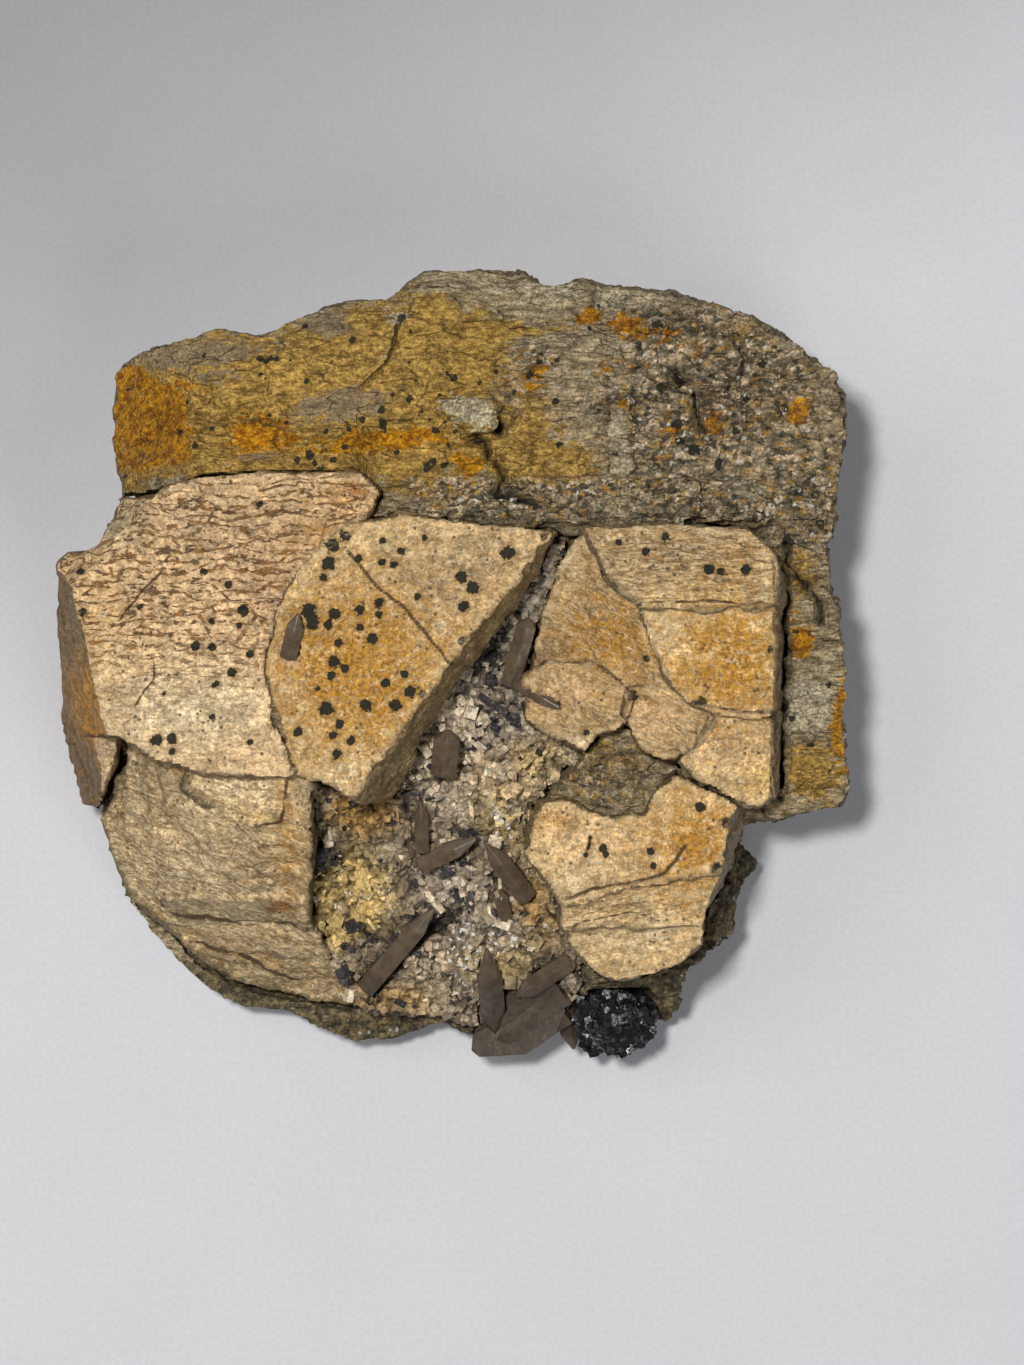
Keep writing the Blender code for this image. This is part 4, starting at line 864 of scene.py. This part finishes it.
FRONT_SPECKS = (
    (29.6, -27.9, 0.6), (22.5, -27.4, 0.6), (20.6, -25.8, 0.35), (20.5, -26.5, 0.35), (20.3, -27.2, 0.35),
    (29.9, -30, 0.5), (37, -21.2, 0.8), (41, -23.6, 0.8), (39.5, -30.5, 0.9), (39.5, -41.5, 0.8),
    (22.9, -28.4, 0.5), (19.9, -28.4, 0.4),
)
FRONT_CRACKS = (
    (0.3, ((17, -35), (21, -33.5), (27, -32.5), (32, -31), (35, -27))),
    (0.2, ((17, -39.3), (22, -38), (27, -37), (31, -38.5))),
)
crystal(
    "front_feldspar", CREAM,
    (
        (PINK_CREAM, 23, -27, 9, 5, 0, 0.5), (YELLOW, 36, -26, 6, 4, 0, 0.5),
        (OCHRE, 34, -34, 4, 4, 0, 0.4), (WHITE_CREAM, 31, -40, 2.6, 2.2, 0, 0.9),
        (WHITE_CREAM, 24, -41, 7, 3, 0, 0.5), (GREENISH, 40, -34, 2.4, 8, -15, 0.7),
        (GREENISH, 24, -45.6, 7, 1.6, 0, 0.4), (OCHRE, 16, -23, 4, 1.8, 0, 0.5),
        (WHITE_CREAM, 18, -32, 3, 3, 0, 0.6), (GREENISH, 22, -36, 6, 1.2, 8, 0.35),
    ),
    FRONT_SPECKS, FRONT_CRACKS, grain=10.0,
    streaks=lambda p: 0.1 + 0.5 * patch(p, 25, -36, 10, 3, 8),
    mottle=lambda p: 0.3 + 0.7 * patch(p, 36, -27, 8, 9),
    fibre=lambda p: 0.15 + 0.8 * patch(p, 25, -38, 14, 6, 8),
    carve=lambda p: (
        0.6 * smooth(0.0, 0.7, fractal(p * np.array((0.5, 1.3, 1)), 4.0, 53, 3)) * smooth(-30, -36, p[:, 1])
    ),
    seed=37, side=(0.16, 0.13, 0.07),
)

LOWER_CRACKS = (
    (0.3, ((-24, -39.5), (-32, -40), (-40, -38.8), (-45, -37.5))),
    (0.3, ((-40, -43.5), (-34, -45), (-28, -48), (-24, -49))),
    (0.3, ((-24.6, -16), (-24.8, -20), (-26, -24), (-30, -24.2))),
)
crystal(
    "lower_left_feldspar", (0.7, 0.54, 0.31),
    (
        (WHITE_CREAM, -32, -18.6, 8, 3.6, -8, 2.0), (YELLOW, -30, -22.8, 5, 1.4, -20, 0.6),
        (GREENISH, -44, -18, 5, 4, 0, 0.5), (CREAM, -46, -26, 5, 4, 0, 0.4),
        (WHITE_CREAM, -40, -30, 6, 5, 0, 0.3), (GREY_TAN, -30, -32, 7, 5, 0, 0.3),
        (RUST, -26.5, -37, 1.6, 1.2, 0, 1.2), (OCHRE, -33, -45.5, 8, 0.9, -14, 0.8),
        (OCHRE, -40, -41.5, 5, 0.8, -20, 0.7), (CREAM, -33, -42, 8, 2.4, 0, 0.45),
        (GREENISH, -35, -48, 12, 3, 20, 0.6), (OCHRE, -25, -20, 1.6, 4, 0, 0.5),
        (YELLOW, -24, -30, 2, 6, 0, 0.5), (OCHRE, -40, -16, 3, 1.2, 0, 0.5),
        (CREAM, -20, -47, 3, 4, 0, 0.4),
    ),
    (), LOWER_CRACKS, grain=-20.0,
    streaks=lambda p: 0.5, mottle=lambda p: 0.22 + 0.5 * patch(p, -25, -26, 5, 12),
    fibre=lambda p: 0.95 - 0.7 * patch(p, -32, -18.6, 9, 4, -8),
    carve=lambda p: (
        0.9 * (1 - np.abs(lattice(p * np.array((0.35, 1.0, 1.0)), 2.4, 59)))
        + 0.9 * smooth(-0.3, 0.5, fractal(p * np.array((0.5, 1.0, 1.0)), 5.0, 61, 4))
    ),
    seed=43, side=(0.15, 0.12, 0.07),
)


# Crust: hundreds of small grains grown on the trough's floor, grey, cream and lilac fluorite and feldspar
# with purple-black fluorite cubes and thin smoky quartz laths. Its druse sparkles near the front, from glossy
# points and painted sparkles.
CRUST_VOXEL = 0.4
LUMP_SIZE = 3.6
PATCHY_GRAIN_SIZE = 1.7
FINE_GRAIN_SIZE = 0.9
CRUST_CRACK_DEPTH = 2.2
GRAIN_COUNT = 1100
GRAIN_CREAM = (0.82, 0.62, 0.39)
GRAIN_WHITE = (0.9, 0.74, 0.54)
GRAIN_GREY = (0.4, 0.32, 0.22)
GRAIN_BLUE_GREY = (0.44, 0.38, 0.3)
GRAIN_CHARCOAL = (0.035, 0.032, 0.034)
GRAIN_YELLOW = (0.86, 0.62, 0.24)
GRAIN_OCHRE = (0.56, 0.32, 0.08)
GRAIN_BROWN = (0.22, 0.16, 0.095)
CRUST_PATCHES = (
    (GRAIN_BLUE_GREY, 8, 9, 5, 11, -35, 0.9), (GRAIN_WHITE, 2, -8, 7, 4, 20, 1.0),
    (GRAIN_WHITE, -3, -14, 4, 3, 0, 1.0), (GRAIN_OCHRE, -14, -22, 5, 5, 0, 1.4),
    (GRAIN_CREAM, 8, -17, 6, 3, 0, 2.4), (GRAIN_BROWN, -13, -29, 4, 3.4, 0, 0.9),
    (GRAIN_YELLOW, -17.5, -36, 6, 5.6, 0, 3.0), (GRAIN_BROWN, -6, -23, 5, 3, 0, 0.75),
    (GRAIN_WHITE, 0, -21, 4, 2.6, 0, 0.6), (GRAIN_WHITE, -1, -35, 5, 4.4, 0, 0.55),
    (GRAIN_BROWN, -4, -29, 6, 2.6, 10, 0.8), (GRAIN_BROWN, -13, -46, 3, 7, -30, 1.2),
    (GRAIN_CREAM, -4, -45, 3.4, 2.4, 0, 0.8), (GRAIN_OCHRE, -9, -51.5, 6, 2.6, 0, 0.7),
    (GRAIN_YELLOW, 7.5, -24, 4.4, 5, 0, 0.9), (GRAIN_BROWN, 8, -34, 3, 6, 20, 0.85),
    (GRAIN_OCHRE, 12.5, -37, 3, 7, 20, 0.75), (GRAIN_YELLOW, 8, -46, 7, 3, 0, 0.6),
    (GRAIN_YELLOW, 13, -14, 4, 3, 0, 0.6), (GRAIN_BROWN, 13, -48, 6, 3, 0, 0.6),
    (GRAIN_CREAM, 17, 14, 1.6, 5, -8, 0.9),
)
DARK_ZONES = (
    (5.5, 3, 3.4, 3.4, 0, 0.8), (7, -7, 3, 3, 0, 0.8), (-7.5, -18, 3, 4, 0, 0.8),
    (-19.5, -29.6, 3.4, 2.6, 0, 1.2), (-13.5, -42, 2, 3.4, -30, 0.7), (-14, -18.5, 2.4, 2.4, 0, 0.6),
    (-5, -41, 7, 2, 40, 0.8), (11, 17, 2, 3, -30, 0.5), (3, -26, 3, 3, 0, 0.5), (14, -50, 4, 4, 0, 0.7),
    (-12, -54, 6, 1.6, 0, 0.7), (8, -30, 2.4, 5, 20, 0.7), (-1, -31, 4, 2, 20, 0.5),
    (16, -46, 3, 2, 0, 0.8),
)
DRUSE_ZONES = (
    (1, -44, 3, 6, 0, 1.0), (7.5, -42, 2.6, 3.4, 0, 1.0), (7, -24, 4, 5, 0, 0.6),
    (13, -37, 2, 6, 20, 0.4), (5, 5, 3, 6, -30, 0.3), (-16, -36, 4, 4, 0, 0.4),
)
# The split under an overhanging plate, whose shadow is painted dark on the crust.
CRUST_SHADOWED_CRACKS = (((-15.5, -53.5), (-9, -46), (-4, -41), (0, -38)),)


def tumbled(dice, spot, tilt):
    """A place at a spot in millimetres, turned at random and tipped by up to a tilt in radians."""
    spin = Matrix.Rotation(dice.uniform(0, 6.3), 4, "Z") @ Matrix.Rotation(dice.uniform(0, tilt), 4, "X")
    return Matrix.Translation(Vector(spot) * MM) @ spin


def crust_colours(spots):
    """The crust's own colour at each spot."""
    return coloured(spots, GRAIN_GREY, CRUST_PATCHES, 75)


def fluorite_crust():
    """Dress the trough's floor with lumps and grains, and set small grains, laths and points in it."""
    base = fine_copy("fluorite_crust", "crust", CRUST_VOXEL)
    spots, normals = points_of(base), normals_of(base)
    lump_rim, lump = chips(warped(spots, 3.0, 1.0, 77), LUMP_SIZE, 79)
    rim, value = chips(spots, PATCHY_GRAIN_SIZE, 71)
    small_rim, small_value = chips(spots, FINE_GRAIN_SIZE, 73)
    relief = 1.3 * (lump - 0.6) - 0.7 * smooth(0.16, 0.0, lump_rim)
    relief += 0.7 * (value - 0.7) + 0.35 * (small_value - 0.5) - 0.4 * smooth(0.14, 0.0, rim)
    split = np.min([beside(warped(spots, 2.0, 0.7, 83), line) for line in CRUST_SHADOWED_CRACKS], axis=0)
    relief -= CRUST_CRACK_DEPTH * smooth(1.0, 0.1, split)
    reshape(base, spots + normals * relief[:, None])
    dark = zone(spots, DARK_ZONES)
    colours = crust_colours(spots) * (0.6 + 0.7 * value)[:, None]
    colours = blend(colours, GRAIN_WHITE, 0.5 * smooth(0.8, 0.9, lump))
    black = np.maximum(dark * smooth(0.3, 0.5, value + 0.3 * dark), 0.8 * smooth(0.85, 0.9, small_value))
    colours = blend(colours, GRAIN_CHARCOAL, 0.92 * black)
    # Painted shade: grain and lump rims are darkened, in the hollows between them.
    colours *= (1.0 - 0.5 * smooth(0.12, 0.0, rim) - 0.35 * smooth(0.2, 0.0, lump_rim))[:, None]
    # Painted shadow: the split is darkened under its overhanging edge.
    colours *= (1.0 - 0.8 * smooth(0.9, 0.2, split))[:, None]
    tint(base, colours)
    mark(base, "gloss", np.where(dark > 0.5, 0.7, 0.2))
    mark(base, "druse", zone(spots, DRUSE_ZONES))

    dice = np.random.default_rng(5)
    spots = points_of(base)
    able = np.flatnonzero(normals[:, 2] > 0.35)
    picks = able[dice.integers(len(able), size=GRAIN_COUNT)]
    here = spots[picks]
    local, dark, druse = crust_colours(here), zone(here, DARK_ZONES), zone(here, DRUSE_ZONES)
    bm = bmesh.new()
    tints, glosses, druses = [], [], []
    for number, (x, y, z) in enumerate(here):
        chance = dice.random()
        colour, gloss = local[number] * dice.uniform(0.75, 1.3), 0.3
        if chance < 0.08 + 0.8 * dark[number]:
            colour, gloss = np.array(GRAIN_CHARCOAL) * dice.uniform(0.7, 1.6), 0.9
        elif chance > 0.95 - 0.25 * druse[number]:
            colour = np.array(GRAIN_WHITE) * dice.uniform(0.8, 1.2)
        size = dice.uniform(0.5, 1.1) * (1.0 + 0.9 * (dice.random() < 0.2))
        place = tumbled(dice, (x, y, z + 0.1 * size), 1.5)
        if druse[number] > 0.3 and dice.random() < 0.7:
            size *= 0.75
            gloss = 1.0
            place = tumbled(dice, (x, y, z + 0.3 * size), 0.9)
            made = bmesh.ops.create_cone(
                bm, cap_ends=True, segments=6, radius1=0.5 * size * MM, radius2=0.08 * size * MM,
                depth=1.2 * size * MM, matrix=place)["verts"]
        elif dice.random() < 0.2:
            lath = Matrix.Diagonal((0.45, 2.0, 0.3, 1.0))
            made = bmesh.ops.create_cube(bm, size=size * 1.3 * MM, matrix=place @ lath)["verts"]
        else:
            block = Matrix.Diagonal((1.0, dice.uniform(0.6, 1.2), dice.uniform(0.5, 1.0), 1.0))
            made = bmesh.ops.create_cube(bm, size=size * MM, matrix=place @ block)["verts"]
        tints += [colour] * len(made)
        glosses += [gloss] * len(made)
        druses += [druse[number]] * len(made)
    bmesh.ops.recalc_face_normals(bm, faces=bm.faces)
    grains = object_from(bm, "crust_grains")
    tint(grains, np.array(tints))
    mark(grains, "gloss", np.array(glosses))
    mark(grains, "druse", np.array(druses))
    for thing in (grains, base):
        show(thing, "fluorite_crust", crust_material())


def crust_material():
    """Grains of mixed brightness, dusty in places, with painted sparkles in the druse."""
    if "crust" in bpy.data.materials:
        return bpy.data.materials["crust"]
    s = Surface("crust", specular=0.4)
    chance = s.random_grain(0.75, place=s.shaken(1.3, 3.0))
    colour = s.brighten(s.colour("tint"), s.between(chance, 0.0, 1.0, 0.65, 1.35))
    colour = s.brighten(colour, s.between(s.noise(0.6, 4.0, 0.7), 0.25, 0.75, 0.6, 1.35))
    dark = s.between(s.noise(1.5, 4.0, 0.7, warp=0.5), 0.56, 0.64)
    colour = s.mix(s.times(dark, 0.5), colour, (0.08, 0.06, 0.045))
    dust = s.between(s.noise(0.8, 3.0, 0.6), 0.6, 0.7)
    colour = s.mix(s.times(dust, 0.5), colour, (0.62, 0.5, 0.36))
    # Painted sparkles: tiny near-white cells in the druse, standing in for glints of reflected light.
    sparkle_cells = s.between(s.random_grain(0.5), 0.86, 0.9)
    sparkle = s.times(sparkle_cells, s.between(s.value("druse"), 0.3, 0.6))
    colour = s.mix(sparkle, colour, (0.95, 0.95, 0.92))
    s.bump(s.noise(0.4, 3.0, 0.7), 0.3)
    return s.finish(colour, s.between(s.value("gloss"), 0.0, 1.0, 0.75, 0.14))


fluorite_crust()


# Fluorite cluster: one lump of small purple-black cubes, grown on the rock at the front edge
# beside the smoky quartz fan. Its faces are glossy, with a little pale dust between the cubes.
CLUSTER_VOXEL = 0.25
CLUSTER_BLACK = (0.009, 0.009, 0.011)
CLUSTER_SHEEN = (0.02, 0.02, 0.022)
PALE_DUST = (0.3, 0.27, 0.22)
SMALL_CUBES = 420


def fluorite_cluster():
    """Set small cubes all over the lump."""
    piece = fine_copy("fluorite_cluster", "cluster", CLUSTER_VOXEL)
    piece.data.shade_flat()
    spots, normals = points_of(piece), normals_of(piece)
    dice = np.random.default_rng(11)
    bm = bmesh.new()
    able = np.flatnonzero(normals[:, 2] > -0.4)
    for _ in range(SMALL_CUBES):
        pick = able[dice.integers(len(able))]
        place = tumbled(dice, spots[pick] - 0.3 * normals[pick], 1.5)
        bmesh.ops.create_cube(bm, size=dice.uniform(0.6, 1.3) * MM, matrix=place)
    for vert in bm.verts:
        vert.co.y = max(vert.co.y, cad_box[0][1])
    cubes = object_from(bm, "cluster_cubes")
    s = Surface("black_fluorite", specular=0.35)
    cloud = s.noise(1.4, 4.0, 0.7)
    colour = s.mix(s.between(cloud, 0.4, 0.65), CLUSTER_BLACK, CLUSTER_SHEEN)
    dust = s.between(s.noise(0.6, 3.0, 0.6), 0.66, 0.76)
    colour = s.mix(s.times(dust, 0.25), colour, PALE_DUST)
    s.bump(s.noise(0.5, 3.0, 0.6), 0.08)
    material = s.finish(colour, s.between(s.noise(0.9, 2.0), 0.35, 0.65, 0.1, 0.4))
    for thing in (piece, cubes):
        show(thing, "fluorite_cluster", material)


fluorite_cluster()


# Smoky quartz: clear brown-grey prisms and blades, grown in the crust, on the ridge and in the fan
# at the front edge. Their faces are smooth with faint ribs, and light passes a little way into them.
SMOKY_LIGHT = (0.26, 0.19, 0.12)
SMOKY_DARK = (0.13, 0.092, 0.058)
SMOKE = (0.5, 0.38, 0.28, 1.0)
SMOKE_DENSITY = 300.0
QUARTZ_IOR = 1.544
WORN_EDGE = 0.08
FAN_TO_TROUGH = (-51.0, -46.0)
QUARTZ_NODES = [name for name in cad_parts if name.startswith("quartz_")]


def quartz_material():
    """Clear smoky glass, darkest in the fan at the front edge."""
    s = Surface("smoky_quartz", specular=0.4)
    s.shader.inputs["Transmission Weight"].default_value = 0.55
    s.shader.inputs["IOR"].default_value = QUARTZ_IOR
    veil = s.noise(1.6, 4.0, 0.65, warp=0.5)
    colour = s.mix(s.between(veil, 0.35, 0.7), SMOKY_LIGHT, SMOKY_DARK)
    inside_colour = s.node("ShaderNodeVolumeAbsorption")
    inside_colour.inputs["Color"].default_value = SMOKE
    inside_colour.inputs["Density"].default_value = SMOKE_DENSITY
    out = s.tree.nodes["Material Output"]
    s.link(inside_colour.outputs["Volume"], out.inputs["Volume"])
    s.bump(s.noise(0.9, 3.0, 0.6, place=s.stretched(1.0, 0.4, 1.6)), 0.08)
    colour = s.brighten(colour, s.between(s.axis("Y"), *FAN_TO_TROUGH, 0.72, 1.22))
    return s.finish(colour, s.between(veil, 0.3, 0.7, 0.24, 0.46))


def quartz_crystals():
    """Copy each quartz solid, drop the seams in its flat faces and wear its edges."""
    material = quartz_material()
    for node in QUARTZ_NODES:
        bm = merged(node)
        flat = [e for e in bm.edges if e.is_manifold and e.calc_face_angle() < math.radians(3)]
        bmesh.ops.dissolve_edges(bm, edges=flat, use_verts=False)
        bmesh.ops.bevel(
            bm, geom=bm.edges[:], offset=WORN_EDGE * MM, segments=1, affect="EDGES", clamp_overlap=True)
        blade = object_from(bm, node.replace("quartz_", "smoky_"))
        blade.data.shade_flat()
        show(blade, node, material)


quartz_crystals()


# Stage: pale paper under the specimen, and the camera straight above it, as in the photograph.
# The main light stands nearly overhead towards the upper left, so the shadow falls to the right.
VIEW_HEIGHT = 204.75
VIEW_CENTRE = (8.85, -2.6)
SHARP_HEIGHT = 40.0
LENS = 176.0
SENSOR = 36.0


def paper_floor():
    """A plain sheet, with painted shade that darkens it a little towards the back left."""
    bm = bmesh.new()
    bmesh.ops.create_grid(bm, x_segments=1, y_segments=1, size=1.6)
    floor = object_from(bm, "paper_floor")
    s = Surface("pale_paper", roughness=0.9, specular=0.2)
    grain = s.noise(0.7, 3.0, 0.6)
    paper = s.mix(s.noise(30.0, 3.0), (0.66, 0.66, 0.69), (0.72, 0.72, 0.75))
    # Painted shade: the paper darkens towards the back left, where the light falls off.
    far = s.node("ShaderNodeVectorMath", operation="DOT_PRODUCT")
    s.link(s.place, far.inputs[0])
    far.inputs[1].default_value = (-0.45, 0.85, 0.0)
    paper = s.brighten(paper, s.between(far.outputs["Value"], 0.0, 130.0, 1.0, 0.52))
    colour = s.brighten(paper, s.between(grain, 0.2, 0.8, 0.95, 1.05))
    s.bump(grain, 0.05, 0.4)
    floor.data.materials.append(s.finish(colour))


paper_floor()


def soft_light(name, spot, size, power, colour):
    """A square soft light that faces the middle of the specimen; the spot is in metres."""
    light = bpy.data.lights.new(name, "AREA")
    light.shape = "SQUARE"
    light.size = size
    light.energy = power
    light.color = colour
    thing = bpy.data.objects.new(name, light)
    thing.location = spot
    aim = Vector((0.0, 0.0, 0.03)) - Vector(spot)
    thing.rotation_euler = aim.to_track_quat("-Z", "Y").to_euler()
    bpy.context.scene.collection.objects.link(thing)


soft_light("key_light", spot=(-0.16, 0.14, 1.3), size=0.11, power=11.0, colour=(1.0, 0.985, 0.96))
soft_light("left_light", spot=(-0.6, 0.2, 1.0), size=0.6, power=1.8, colour=(1.0, 0.98, 0.95))
soft_light("fill_light", spot=(0.5, -0.8, 1.2), size=0.7, power=4.4, colour=(0.98, 0.99, 1.0))
world = bpy.data.worlds.new("studio")
world.use_nodes = True
world.node_tree.nodes["Background"].inputs["Color"].default_value = (0.92, 0.94, 1.0, 1.0)
world.node_tree.nodes["Background"].inputs["Strength"].default_value = 0.1
bpy.context.scene.world = world
bpy.context.scene.view_settings.view_transform = "Standard"

lens = bpy.data.cameras.new("camera")
lens.lens = LENS
lens.sensor_width = SENSOR
lens.clip_start = 0.01
lens.clip_end = 10.0
camera = bpy.data.objects.new("camera", lens)
away = VIEW_HEIGHT * LENS / SENSOR + SHARP_HEIGHT
camera.location = (VIEW_CENTRE[0] * MM, VIEW_CENTRE[1] * MM, away * MM)
bpy.context.scene.collection.objects.link(camera)
bpy.context.scene.camera = camera
